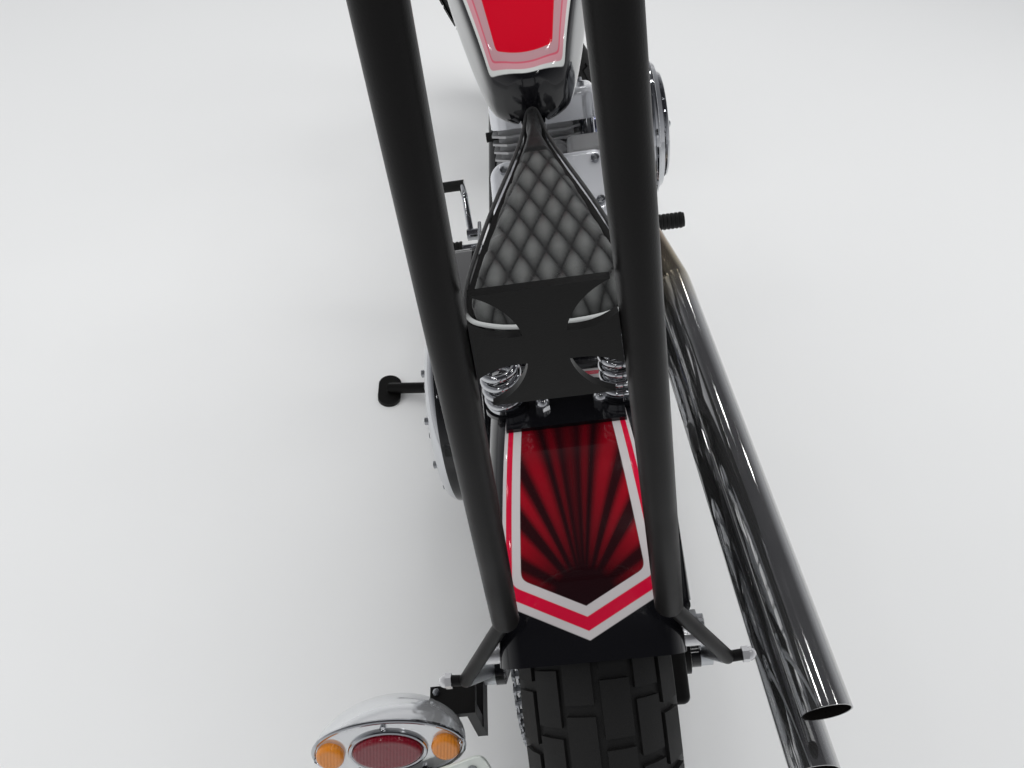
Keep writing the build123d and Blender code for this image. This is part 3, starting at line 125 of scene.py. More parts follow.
lamp_target = Vector((0, 0, 0.5))
lamps = [("overhead_lamp", (0.2, 0.1, 3.4), 2.4, 34, False), ("left_lamp", (-1.2, 3.2, 2.4), 1.6, 24, False),
         ("right_lamp", (0.6, -3.2, 2.2), 1.6, 20, False), ("front_lamp", (3.8, -0.4, 3.6), 1.3, 9, True)]
for lamp_x in (-1.6, -0.3, 1.0, 2.3):
    lamps += [("ceiling_lamp", (lamp_x, lamp_y, 3.1), 0.14, 1.2, True) for lamp_y in (-1.5, 0.2, 1.9)]
for lamp_name, lamp_at, size, power, mirrored in lamps:
    lamp = bpy.data.objects.new(lamp_name, bpy.data.lights.new(lamp_name, "AREA"))
    lamp.data.size = size
    lamp.data.energy = power
    lamp.location = lamp_at
    lamp.visible_glossy = mirrored
    lamp.rotation_euler = (lamp_target - Vector(lamp_at)).to_track_quat("-Z", "Y").to_euler()
    scene.collection.objects.link(lamp)

# Frame.
# Welded steel tube, powder coated gloss black, with its neck, axle plates and stand lug. Domed nuts
# hold the feet of the sissy bar to its axle plates.

# Pieces are drawn on the upright bike in millimetres, x forward and y left of the rear wheel's foot,
# and set in the parked bike by this lean.
bike_lean = radians(12.5)
wheel_foot = Vector((-0.7900025, -0.1168624, 0.0016593))
parked = Matrix.Translation(wheel_foot) @ Matrix.Rotation(-bike_lean, 4, "X") @ Matrix.Scale(0.001, 4)


def shade(material, socket, source):
    """Join a node's output to the finish's shader."""
    material.node_tree.links.new(source, material.node_tree.nodes["Principled BSDF"].inputs[socket])


def blend_of(material, share, low, high):
    """A colour between two colours, by a share from 0 to 1."""
    mix = node(material, "Mix", {0: share}, data_type="RGBA")
    for socket, value in ((mix.inputs[6], low), (mix.inputs[7], high)):
        if isinstance(value, bpy.types.NodeSocket):
            material.node_tree.links.new(value, socket)
        else:
            socket.default_value = (*value, 1.0)
    return mix.outputs[2]


def noise(material, place, scale, detail):
    """A soft random pattern."""
    return node(material, "TexNoise", {"Vector": place, "Scale": scale, "Detail": detail}).outputs["Fac"]


def noise_to(material, pattern, low, high):
    """A noise's usual spread, set between two values."""
    return node(material, "MapRange", {"Value": pattern, "From Min": 0.3, "From Max": 0.7,
                                       "To Min": low, "To Max": high}).outputs[0]


def bumped(material, height, depth, strength=1.0):
    """Raise a finish's surface by a pattern, to a depth in metres."""
    bump = node(material, "Bump", {"Height": height, "Distance": depth, "Strength": strength})
    shade(material, "Normal", bump.outputs[0])


def grain(material, bump_scale, bump_depth, smudge_scale, gloss, tint=None, stretch=(1, 1, 1)):
    """Fine bump, and slower smudges that change the gloss and, if given, the colour."""
    place = node(material, "TexCoord").outputs["Object"]
    drawn = node(material, "Mapping", {"Vector": place, "Scale": stretch}).outputs[0]
    fine = noise(material, drawn, bump_scale, 4.0)
    bumped(material, fine, bump_depth)
    smudge = noise(material, place, smudge_scale, 6.0)
    shade(material, "Roughness", noise_to(material, smudge, *gloss))
    if tint:
        shade(material, "Base Color", blend_of(material, smudge, *tint))


black_paint = finish("black_paint", (0.004, 0.004, 0.005), roughness=0.14,
                     fixed={"Specular IOR Level": 0.3, "Coat Weight": 0.5, "Coat Roughness": 0.05})
grain(black_paint, 260, 0.00012, 14, (0.08, 0.2))
steel_finish = finish("bright_steel", (0.42, 0.43, 0.45), metallic=1.0, roughness=0.3)
grain(steel_finish, 500, 0.0001, 30, (0.22, 0.4))
chrome = finish("chrome", (0.56, 0.57, 0.59), metallic=1.0, roughness=0.06)
grain(chrome, 90, 0.00003, 20, (0.03, 0.12))


def wear_on(material, *names):
    """Give a material to the solids of those names."""
    for name in names:
        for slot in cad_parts[name].material_slots:
            slot.material = material


wear_on(black_paint, "frame", "oil_tank", "spring_strap")
wear_on(steel_finish, "rear_axle", "front_axle")


def finished(name, mesh, material, body, place=parked, sharp=32):
    """The finished mesh set in the parked bike, riding on its body."""
    bmesh.ops.remove_doubles(mesh, verts=mesh.verts, dist=0.001)
    bmesh.ops.recalc_face_normals(mesh, faces=mesh.faces)
    bmesh.ops.transform(mesh, matrix=place, verts=mesh.verts)
    data = bpy.data.meshes.new(name)
    mesh.to_mesh(data)
    mesh.free()
    data.shade_smooth()
    data.set_sharp_from_angle(angle=radians(sharp))
    data.materials.append(material)
    made = bpy.data.objects.new(name, data)
    scene.collection.objects.link(made)
    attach(made, body)
    return made


def turned(mesh, outline, steps, place=Matrix(), closed=False):
    """A turned shape about the place's Y axis, from (along, radius) points."""
    ring = [mesh.verts.new(place @ Vector((0, along, radius))) for along, radius in outline]
    edges = [mesh.edges.new(pair) for pair in zip(ring, ring[1:])]
    if closed:
        edges.append(mesh.edges.new((ring[-1], ring[0])))
    bmesh.ops.spin(mesh, geom=ring + edges, cent=place.translation, axis=place.to_3x3() @ Vector((0, 1, 0)),
                   angle=tau, steps=steps, use_merge=True, use_duplicate=False)


turned_to_z = Matrix.Rotation(radians(90), 4, "X")


def aim(at, along):
    """Place at a point with its Z axis along a direction."""
    return Matrix.Translation(at) @ Vector(along).to_track_quat("Z", "Y").to_matrix().to_4x4()


def rod(mesh, start, end, radius, segments=12):
    """Round or, with six segments, hexagonal bar between two points."""
    start, end = Vector(start), Vector(end)
    bmesh.ops.create_cone(mesh, cap_ends=True, segments=segments, radius1=radius, radius2=radius,
                          depth=(end - start).length, matrix=aim((start + end) / 2, end - start))


def cap_nut(mesh, at, out, radius):
    """Domed nut on a face."""
    at, out = Vector(at), Vector(out)
    rod(mesh, at, at + out * radius * 0.8, radius, 6)
    dome = [(radius * 0.8, radius * 0.86), (radius * 1.1, radius * 0.84), (radius * 1.5, radius * 0.62),
            (radius * 1.75, radius * 0.3), (radius * 1.8, 0.01)]
    turned(mesh, dome, 16, aim(at, out) @ turned_to_z)


frame_bolts = bmesh.new()
for side in (-1, 1):
    cap_nut(frame_bolts, (-62, side * 127.3, 387), (0, side, 0), 8)
finished("frame_bolts", frame_bolts, chrome, "chassis")

# Rear wheel.
# Sixteen inch tyre, moulded rubber with grooved blocks round its crown, on a chromed spoked rim.
# The spokes end in brass nipples plated like the rim.
rear_axle = Vector((0, 0, 325))
rear_hub = parked @ Matrix.Translation(rear_axle)
tyre_rubber = finish("tyre_rubber", (0.008, 0.008, 0.008), roughness=0.55, fixed={"Specular IOR Level": 0.3})
grain(tyre_rubber, 1300, 0.00025, 12, (0.45, 0.65), ((0.006, 0.006, 0.006), (0.013, 0.0125, 0.012)))
tread_rows = ((24, 42), (46, 64), (68, 90))
hub_screw_turns = range(36, 360, 72)


def tread_tyre(radius, width, bead, block):
    """Tyre turned from its section, with blocks raised between the grooves of its crown.

    Each row of blocks lies between two angles of the crown, and a block is this many steps long.
    """
    mesh = bmesh.new()
    crown, depth, steps = width / 2, 4.0, 216
    side = [(0.33 * width, bead + 0.5), (0.33 * width, bead + 16), (0.40 * width, bead + 20),
            (0.415 * width, bead + 26), (0.43 * width, bead + 26.4), (0.455 * width, bead + 38)]
    outer = [(crown * cos(radians(a)), radius - crown + (crown - depth) * sin(radians(a)))
             for a in (0, 10, 20, 24, 34, 42, 46, 55, 64, 68, 77)]
    half = side + outer + [(3.0, radius - depth)]
    outline = [(-y, r) for y, r in half] + [(y, r) for y, r in reversed(half)]
    turned(mesh, outline, steps, closed=True)
    bmesh.ops.remove_doubles(mesh, verts=mesh.verts, dist=0.01)
    mesh.normal_update()
    raised = []
    for face in mesh.faces:
        middle = face.calc_center_median()
        reach = hypot(middle.x, middle.z)
        lift = degrees(atan2(reach - (radius - crown), abs(middle.y)))
        place = int(degrees(atan2(middle.z, middle.x)) % 360 / 360 * steps)
        for number, (start, stop) in enumerate(tread_rows):
            shift = number * 2 + (3 if middle.y < 0 else 0)
            if start < lift < stop and reach > radius - crown and (place + shift) % block:
                raised.append(face)
    grown = bmesh.ops.extrude_face_region(mesh, geom=raised)
    for vert in grown["geom"]:
        if isinstance(vert, bmesh.types.BMVert):
            core = Vector((vert.co.x, 0, vert.co.z)).normalized() * (radius - crown)
            vert.co += (vert.co - core).normalized() * (depth - 0.3)
    bmesh.ops.delete(mesh, geom=raised, context="FACES")
    return mesh


def screw(mesh, at, out, radius, height):
    """Socket-head screw standing on a face, its recess on top."""
    made = bmesh.ops.create_cone(mesh, cap_ends=True, segments=14, radius1=radius, radius2=radius,
                                 depth=height, matrix=aim(Vector(at) + Vector(out) * height / 2, out))
    mesh.normal_update()
    faces = {face for vert in made["verts"] for face in vert.link_faces}
    top = max(faces, key=lambda face: face.normal.dot(Vector(out)))
    bmesh.ops.inset_individual(mesh, faces=[top], thickness=radius * 0.42, depth=-height * 0.55)


def spoke_nipples(bead, flange_y, flange_r):
    """Nipples where the crossed spokes meet the rim, their heads at the hub, and the valve."""
    mesh = bmesh.new()
    spokes, crossing = 40, radians(32)
    for number in range(spokes):
        side = 1 if number % 2 else -1
        outer = tau * number / spokes
        inner = outer + (crossing if (number // 2) % 2 else -crossing)
        foot = Vector(((flange_r - 6) * cos(inner), side * (flange_y + 3), (flange_r - 6) * sin(inner)))
        tip = Vector(((bead - 14) * cos(outer), side * 8, (bead - 14) * sin(outer)))
        rod(mesh, tip, tip + (foot - tip).normalized() * 15, 3.6, 6)
        screw(mesh, foot + Vector((0, side * 3, 0)), (0, side, 0), 3.4, 2.4)
    valve_turn = tau * 2.5 / spokes
    valve = Vector((cos(valve_turn), 0, sin(valve_turn)))
    rod(mesh, valve * (bead - 16), valve * (bead - 46), 3.5)
    return mesh


def screw_ring(mesh, middle, ring_r, turns, radius, height):
    """Screws at these turns round a point on a side face, pointing away from the bike's middle."""
    x, y, z = middle
    for turn in turns:
        at = (x + ring_r * cos(radians(turn)), y, z + ring_r * sin(radians(turn)))
        screw(mesh, at, (0, copysign(1, y), 0), radius, height)


rear_tyre = finished("rear_tyre_tread", tread_tyre(325, 140, 203, 6), tyre_rubber, "rear_wheel",
                     rear_hub, 25)
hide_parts("rear_tyre")
wear_on(chrome, "rear_spoked_wheel", "rear_sprocket", "front_spoked_wheel")
wear_on(steel_finish, "rear_brake_disc", "front_brake_disc")
finished("rear_nipples", spoke_nipples(203, 38, 46), chrome, "rear_wheel", rear_hub)
rear_bolts = bmesh.new()
screw_ring(rear_bolts, (0, -67, 0), 37, hub_screw_turns, 5, 5)
screw_ring(rear_bolts, (0, 89, 0), 38, hub_screw_turns, 5, 5)
finished("rear_hub_bolts", rear_bolts, steel_finish, "rear_wheel", rear_hub)

# Rear brake.
# Two-piston caliper of cast alloy, painted black on its carrier arm, with its bridge bolts.
# It hangs on the axle and clears the disc.
satin_black = finish("satin_black", (0.005, 0.005, 0.005), roughness=0.4, fixed={"Specular IOR Level": 0.16})
grain(satin_black, 900, 0.00008, 18, (0.34, 0.48), ((0.004, 0.004, 0.004), (0.007, 0.0065, 0.006)))
wear_on(satin_black, "rear_caliper", "front_caliper")
caliper_bolts = bmesh.new()
for bolt_x in (100, 148):
    for lift in (-24, 24):
        screw(caliper_bolts, (bolt_x, -101, rear_axle.z + lift), (0, -1, 0), 6, 5)
finished("rear_caliper_bolts", caliper_bolts, steel_finish, "chassis")

# Drive chain.
# Roller chain of pressed steel plates and turned rollers, five eighths of an inch between pins,
# wrapped on both chain wheels.
chain_pitch, chain_y, half_link = 15.875, 86, 7.9
link = bmesh.new()
for side_y in (-6.2, 6.2):
    for pin_x in (-half_link, half_link):
        rod(link, (pin_x, side_y - 1.1, 0), (pin_x, side_y + 1.1, 0), 6.6, 10)
    waist = Matrix.Translation((0, side_y, 0)) @ Matrix.Diagonal((13, 2.2, 9, 1))
    bmesh.ops.create_cube(link, size=1, matrix=waist)
rod(link, (half_link, -7, 0), (half_link, 7, 0), 4.4, 8)
link_data = bpy.data.meshes.new("chain_link")
link.to_mesh(link_data)
link.free()
big_r, small_r = 117.0, 49.8
gear_shaft = Vector((400, 0, 330))
between = gear_shaft - rear_axle
tilt = atan2(between.z, between.x)
splay = acos((big_r - small_r) / between.length)
run = (between.length ** 2 - (big_r - small_r) ** 2) ** 0.5
wrap_small, wrap_big = 2 * splay * small_r, (tau - 2 * splay) * big_r
chain_length = 2 * run + wrap_small + wrap_big
link_count = 2 * round(chain_length / chain_pitch / 2)


def polar(start, distance, turn):
    """The point at a distance and a turn from another, in the bike's side view."""
    return start + distance * Vector((cos(turn), 0, sin(turn)))


def chain_place(distance):
    """Where a link sits on the loop, and its turn, at a distance along the chain."""
    top, low = tilt + splay, tilt - splay
    if distance < run:
        heading = top - pi / 2
        return polar(polar(rear_axle, big_r, top), distance, heading), heading
    distance -= run
    if distance < wrap_small:
        turn = top - distance / small_r
        return polar(gear_shaft, small_r, turn), turn - pi / 2
    distance -= wrap_small
    if distance < run:
        heading = low - pi / 2
        return polar(polar(gear_shaft, small_r, low), distance, heading), heading
    turn = low - (distance - run) / big_r
    return polar(rear_axle, big_r, turn), turn - pi / 2


def stamp(mesh, pattern, place):
    """Add a copy of a small finished mesh at a place."""
    start = len(mesh.verts)
    mesh.from_mesh(pattern)
    mesh.verts.ensure_lookup_table()
    bmesh.ops.transform(mesh, matrix=place, verts=mesh.verts[start:])


chain = bmesh.new()
for number in range(link_count):
    point, heading = chain_place(chain_length * number / link_count)
    narrow = 0.78 if number % 2 else 1.0
    stamp(chain, link_data, Matrix.Translation((point.x, chain_y, point.z))
          @ Matrix.Rotation(-heading, 4, "Y") @ Matrix.Diagonal((1, narrow, 1, 1)))
chain_piece = finished("roller_chain", chain, steel_finish, "chassis")
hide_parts("drive_chain")

# Engine.
# Air-cooled V-twin: polished crankcase, black finned cylinders, alloy heads and chromed rocker boxes,
# cam cover and pushrod tubes, held by socket screws.
polished = finish("polished_aluminium", (0.70, 0.70, 0.71), metallic=0.7, roughness=0.2)
grain(polished, 420, 0.00012, 16, (0.12, 0.26), stretch=(1, 1, 6))
cast_alloy = finish("cast_aluminium", (0.42, 0.42, 0.42), metallic=0.7, roughness=0.45)
grain(cast_alloy, 1100, 0.0003, 24, (0.38, 0.58), ((0.34, 0.34, 0.35), (0.5, 0.5, 0.5)))
rubber = finish("black_rubber", (0.010, 0.010, 0.010), roughness=0.62, fixed={"Specular IOR Level": 0.3})
grain(rubber, 1500, 0.0002, 30, (0.52, 0.72), ((0.008, 0.008, 0.008), (0.014, 0.014, 0.013)))
fin_black = finish("fin_black", (0.008, 0.008, 0.009), roughness=0.4, fixed={"Specular IOR Level": 0.35})
grain(fin_black, 1200, 0.0002, 20, (0.32, 0.5), ((0.006, 0.006, 0.007), (0.013, 0.013, 0.014)))
satin_chrome = finish("satin_chrome", (0.74, 0.75, 0.78), metallic=0.5, roughness=0.16)
grain(satin_chrome, 300, 0.00005, 20, (0.12, 0.24))
wear_on(polished, "crankcase", "gearbox")
wear_on(satin_chrome, "rocker_boxes")
wear_on(chrome, "cam_cover", "pushrod_tubes")
wear_on(fin_black, "cylinders")
wear_on(cast_alloy, "cylinder_heads", "carburettor")
crank = Vector((668, 0, 280))
engine_screws = bmesh.new()
plug_boots = bmesh.new()
for bank_lean in (-22.5, 22.5):
    bank = Matrix.Translation(crank) @ Matrix.Rotation(radians(bank_lean), 4, "Y")
    up, outward = bank.to_3x3() @ Vector((0, 0, 1)), bank.to_3x3() @ Vector((0, 1, 0))
    for x in (-34, 34):
        for y in (-80, -15, 50):
            screw(engine_screws, bank @ Vector((x, y, 354)), up, 6, 6)
    plug = bank @ Vector((0, 60, 290))
    rod(plug_boots, plug, plug + outward * 24, 8)
for x, z in ((606, 250), (620, 222), (668, 214), (712, 232), (738, 270), (782, 312), (730, 355), (612, 380)):
    screw(engine_screws, (x, -114, z), (0, -1, 0), 5, 4)
screw_ring(engine_screws, (688, -124, 286), 36, range(0, 360, 60), 3.5, 3)
finished("engine_screws", engine_screws, steel_finish, "chassis")
finished("plug_boots", plug_boots, rubber, "chassis")

# Air cleaner.
# Round cover of chromed pressed steel over the carburettor's mouth, with a beaded edge
# and one domed nut in the middle.
wear_on(chrome, "air_cleaner")
cleaner_trim = bmesh.new()
cleaner_x, cleaner_z, bead_wire = 656, 602, 3.5
for bead_r, y in ((96, -170), (96, -124), (72, -186)):
    bead = [(y + bead_wire * cos(radians(a)), bead_r + bead_wire * sin(radians(a)))
            for a in range(0, 360, 45)]
    turned(cleaner_trim, bead, 72, Matrix.Translation((cleaner_x, 0, cleaner_z)), closed=True)
cap_nut(cleaner_trim, (cleaner_x, -187, cleaner_z), (0, -1, 0), 9)
finished("air_cleaner_beads", cleaner_trim, chrome, "chassis")

# Exhaust pipes.
# Bent steel tube, chromed outside and sooty inside, faintly straw and blue where it leaves the heads.
# Each pipe is held at its head by a flange with two nuts.
pipe_tips = (((-155, -216, 448), (447.3, -172, 474)), ((-190, -207, 372), (772.7, -166, 322)))
pipe_ports = ((533.3, -76, 516.4), (802.7, -76, 516.4))
soot_r, soot_depth = 23.7, 224.0
hot_reach, warm_reach = 40.0, 190.0


def upright_place(material):
    """The piece's own coordinates turned back to the upright bike, in millimetres."""
    place = node(material, "TexCoord").outputs["Object"]
    shift = Matrix.Rotation(bike_lean, 3, "X") @ (wheel_foot * -1000)
    return node(material, "Mapping", {"Vector": place, "Location": shift, "Rotation": (bike_lean, 0, 0),
                                      "Scale": (1000, 1000, 1000)}).outputs[0]


def step(material, value, low, high):
    """A share that rises from 0 at low to 1 at high."""
    return node(material, "MapRange", {"Value": value, "From Min": low, "From Max": high}).outputs[0]


def inside_pipe(material, place, tip, before):
    """1 inside the mouth of a pipe that runs straight from one point to its tip, and 0 elsewhere."""
    work = partial(calc, material)
    out = (Vector(tip) - Vector(before)).normalized()
    away = node(material, "VectorMath", {0: place, 1: tip}, operation="SUBTRACT").outputs["Vector"]
    along = node(material, "VectorMath", {0: away, 1: out}, operation="DOT_PRODUCT").outputs["Value"]
    reach = node(material, "VectorMath", {0: away}, operation="LENGTH").outputs["Value"]
    aside = work("SQRT", work("SUBTRACT", work("POWER", reach, 2.0), work("POWER", along, 2.0)))
    return work("MULTIPLY", work("LESS_THAN", aside, soot_r), work("GREATER_THAN", along, -soot_depth))


def near_port(material, place, port):
    """A share that rises to 1 towards the port where a pipe leaves its head."""
    distance = node(material, "VectorMath", {0: place, 1: port}, operation="DISTANCE").outputs["Value"]
    return step(material, distance, warm_reach, hot_reach)


def pipe_plating():
    """Chrome with soot in the mouths and heat colours at the ports."""
    plating = finish("pipe_chrome", (0.50, 0.50, 0.50), roughness=0.07)
    grain(plating, 90, 0.00003, 20, (0.03, 0.12))
    place = upright_place(plating)
    soot = calc(plating, "MAXIMUM", *[inside_pipe(plating, place, *ends) for ends in pipe_tips])
    heat = calc(plating, "MAXIMUM", *[near_port(plating, place, port) for port in pipe_ports])
    hue = ramp(plating, heat, ((0.0, (0.50, 0.50, 0.50)), (0.45, (0.50, 0.44, 0.33)),
                               (0.75, (0.42, 0.32, 0.26)), (1.0, (0.30, 0.32, 0.46))))
    shade(plating, "Base Color", blend_of(plating, soot, hue, (0.012, 0.011, 0.010)))
    shade(plating, "Metallic", calc(plating, "MULTIPLY_ADD", soot, -0.94, 0.94))
    return plating


wear_on(pipe_plating(), "exhaust_pipes")
flanges = bmesh.new()
flange_outline = [(-77, 26), (-77, 36), (-83, 36), (-83, 26)]
for x, _, z in pipe_ports:
    turned(flanges, flange_outline, 32, Matrix.Translation((x, 0, z)), closed=True)
    for lift in (-33, 33):
        cap_nut(flanges, (x, -80, z + lift), (0, -1, 0), 6)
finished("exhaust_flanges", flanges, chrome, "chassis")

# Primary drive and gearbox.
# Cast chaincase painted black with a chromed outer cover, a round clutch cover and a smaller round
# cover over the engine shaft, all held by socket screws.
case_black, cover_chrome, cover_seam_y = (0.008, 0.008, 0.009), (0.63, 0.64, 0.66), 182.0


def upright_xyz(material):
    """The three upright coordinates, each as a number."""
    return node(material, "SeparateXYZ", {0: upright_place(material)}).outputs


primary_finish = finish("primary_finish", cover_chrome, metallic=1.0, roughness=0.07)
grain(primary_finish, 120, 0.00004, 20, (0.04, 0.12))
on_cover = step(primary_finish, upright_xyz(primary_finish)[1], cover_seam_y, cover_seam_y + 0.6)
shade(primary_finish, "Base Color", blend_of(primary_finish, on_cover, case_black, cover_chrome))
shade(primary_finish, "Metallic", on_cover)
wear_on(primary_finish, "primary_case")
drive_screws = bmesh.new()
drive_covers = bmesh.new()
clutch_x, clutch_z, kick_x, kick_z = 375, 330, 392, 320
screw_ring(drive_screws, (crank.x, 198, crank.z), 74, (-115, -75, -35, 5, 45, 80), 5.5, 5)
screw_ring(drive_screws, (clutch_x, 198, clutch_z), 116, (100, 135, 170, 205, 240, 275), 5.5, 5)
screw_ring(drive_screws, (clutch_x, 208, clutch_z), 62, range(18, 360, 72), 5, 3)
screw_ring(drive_screws, (crank.x, 205.5, crank.z), 36, (45, 135, 225, 315), 4, 3)
screw_ring(drive_screws, (kick_x, -95, kick_z), 47, range(0, 360, 45), 4, 4)
turned(drive_covers, [(197.5, 44), (203, 44), (205, 41), (206, 34), (206, 0.01)], 48,
       Matrix.Translation(crank))
turned(drive_covers, [(-85.5, 58), (-92, 58), (-95, 54), (-96, 30), (-100, 26), (-101, 0.01)], 48,
       Matrix.Translation((kick_x, 0, kick_z)))
finished("drive_covers", drive_covers, chrome, "chassis")
finished("drive_screws", drive_screws, steel_finish, "chassis")

# Oil tank.
# Welded steel tank under the seat, painted like the frame. Its filler cap is turned, chromed and
# screwed in, with upright ribs round its edge.


def grip_ring(mesh, middle, ring_r, count, radius, height):
    """Upright ribs round the edge of a screw cap."""
    for number in range(count):
        turn = tau * number / count
        foot = Vector(middle) + ring_r * Vector((cos(turn), sin(turn), 0))
        rod(mesh, foot, foot + Vector((0, 0, height)), radius, 8)


oil_cap = bmesh.new()
oil_cap_at = Vector((404, -58, 537))
turned(oil_cap, [(0, 19), (7, 19), (9, 17), (10, 0.01)], 32, Matrix.Translation(oil_cap_at) @ turned_to_z)
grip_ring(oil_cap, oil_cap_at + Vector((0, 0, 0.5)), 19, 16, 1.6, 6.5)
finished("oil_cap", oil_cap, chrome, "chassis")

# Fuel tank.
# Pressed and welded steel tank in black lacquer with a candy red panel on top, bordered by silver and
# rose stripes, under clear coat. Its filler cap is chromed.
candy, lacquer_black = (0.50, 0.001, 0.014), (0.004, 0.004, 0.005)
clear_coat = {"Specular IOR Level": 0.3, "Coat Weight": 0.6, "Coat Roughness": 0.03}


def stripe_ramp(material, inset, stripes):
    """Stripe colour at an inset in millimetres, each stripe being (where it begins, its colour)."""
    span, before, after = 100.0, 0.4, 0.2
    stops = [(0.0, stripes[0][1])]
    for (_, previous), (begins, color) in zip(stripes, stripes[1:]):
        stops += [((begins - before) / span, previous), ((begins + after) / span, color)]
    return ramp(material, calc(material, "DIVIDE", inset, span), stops)


def tank_lacquer():
    """Lacquer with the tank's panel, its stripes laid out by how far inside its edge a point lies.

    The panel widens forward of its bowed rear edge and narrows again towards the neck, and its side
    stripes widen with it. Each line is a slope and an offset that give a width from a point's x.
    """
    paint = finish("tank_paint", lacquer_black, roughness=0.1, fixed=clear_coat)
    grain(paint, 220, 0.00008, 10, (0.08, 0.14))
    work = partial(calc, paint)
    rear_x, rear_bow, top_slope, top_z = 591.0, -0.0045, -0.35, 505.0
    side_line, border_line, front_line = (0.255, -103.0), (0.09, -38.5), (-0.40, 438.0)
    border_most, stripes_width, front_square = 24.0, 23.0, 0.93
    x, y, z = upright_xyz(paint)
    wide = work("ABSOLUTE", y)
    from_rear = work("SUBTRACT", work("MULTIPLY_ADD", work("POWER", wide, 2.0), rear_bow, x), rear_x)
    border = work("MINIMUM", work("MULTIPLY_ADD", x, *border_line), border_most)
    from_side = work("DIVIDE", work("SUBTRACT", work("MULTIPLY_ADD", x, *side_line), wide), border)
    from_side = work("MULTIPLY", from_side, stripes_width)
    from_front = work("MULTIPLY", work("SUBTRACT", work("MULTIPLY_ADD", x, *front_line), wide), front_square)
    inset = work("SMOOTH_MIN", work("SMOOTH_MIN", from_rear, from_side, 9.0), from_front, 40.0)
    on_top = work("GREATER_THAN", work("MULTIPLY_ADD", x, top_slope, z), top_z)
    stripes = ((0.0, lacquer_black), (0.6, (0.56, 0.57, 0.55)), (4.5, (0.52, 0.25, 0.28)),
               (10.5, (0.52, 0.10, 0.14)), (12.5, (0.42, 0.24, 0.26)), (stripes_width, candy))
    shade(paint, "Base Color", stripe_ramp(paint, work("MULTIPLY", inset, on_top), stripes))
    return paint


# The tank's rear is drawn in, with tight shoulders.
tank_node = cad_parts["fuel_tank"]
tank_shell = bmesh.new()
tank_shell.from_mesh(tank_node.data)
bmesh.ops.transform(tank_shell, matrix=parked.inverted() @ tank_node.matrix_world, verts=tank_shell.verts)
shoulder, rear_half, flare, flare_x = 12, 58, 0.245, 602
for vert in tank_shell.verts:
    flat_half = rear_half + flare * max(0.0, vert.co.x - flare_x) - shoulder
    past = abs(vert.co.y) - flat_half
    if past > 0:
        vert.co.y = copysign(flat_half + shoulder * (1 - exp(-past / shoulder)), vert.co.y)
tank_piece = finished("slim_tank", tank_shell, tank_lacquer(), "chassis")
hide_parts("fuel_tank")
wear_on(chrome, "tank_cap")
cap_trim = bmesh.new()
cap_x, cap_y, cap_top = 905, -48, 896
turned(cap_trim, [(-7, 30.5), (-1, 30.5), (1, 28), (3, 20), (4, 0.01)], 48,
       Matrix.Translation((cap_x, cap_y, cap_top)) @ turned_to_z)
grip_ring(cap_trim, (cap_x, cap_y, cap_top - 7), 30, 24, 1.8, 7)
finished("tank_cap_grip", cap_trim, chrome, "chassis")

# Seat.
# Black leather sewn in diamonds over foam, on a steel pan; its black piping has a painted highlight at the
# rear.
# It stands on two chromed coil springs and hinges at its nose.
seat_outline = [(0, 0), (-12, 8), (-80, 15), (-160, 34), (-240, 55), (-312, 71), (-385, 85), (-428, 87),
                (-447, 80), (-456, 66), (-466, 38)]
seat_rim = seat_outline + [(x, -y) for x, y in reversed(seat_outline[1:])]
seat_place = parked @ Matrix.Translation((580, 0, 689)) @ Matrix.Rotation(radians(5), 4, "Y")
wear_on(satin_black, "seat_pan")
wear_on(chrome, "seat_springs")
quilt_across, quilt_along = 26.0, 72.0


def seat_leather():
    """Leather with a painted sheen that makes the puffs between its seams paler, its tone varying at random,
    and plain over the nose.

    The seams follow the quilting in upright coordinates, where the seat's tilt shortens the diamonds.
    """
    leather = finish("black_leather", (0.010, 0.010, 0.010), roughness=0.42,
                     fixed={"Specular IOR Level": 0.35})
    work = partial(calc, leather)
    nose_x, level_along, hem_x = 582.6, 71.8, 418.0
    hide = node(leather, "TexCoord").outputs["Object"]
    pores = node(leather, "TexVoronoi", {"Vector": hide, "Scale": 620.0}, feature="DISTANCE_TO_EDGE")
    folds = noise(leather, hide, 90.0, 5.0)
    skin = work("MULTIPLY_ADD", step(leather, pores.outputs["Distance"], 0.0, 0.12), 0.6, folds)
    bumped(leather, skin, 0.0004, 0.7)
    shade(leather, "Roughness", noise_to(leather, folds, 0.32, 0.5))
    x, y, _ = upright_xyz(leather)
    across = work("DIVIDE", y, quilt_across)
    along = work("DIVIDE", work("SUBTRACT", x, nose_x), level_along)
    rows = [work("SINE", work("MULTIPLY", work(way, across, along), pi)) for way in ("ADD", "SUBTRACT")]
    # Painted sheen: the puffs are painted paler towards their middles, and the seams stay plain black.
    puff_sheen_share = work("POWER", work("ABSOLUTE", work("MULTIPLY", *rows)), 0.8)
    puff_sheen_share = work("MULTIPLY", puff_sheen_share, step(leather, x, hem_x + 14.0, hem_x))
    painted_puff_sheen = blend_of(leather, folds, (0.060, 0.063, 0.060), (0.135, 0.138, 0.134))
    shade(leather, "Base Color", blend_of(leather, puff_sheen_share, (0.006, 0.006, 0.006), painted_puff_sheen))
    return leather


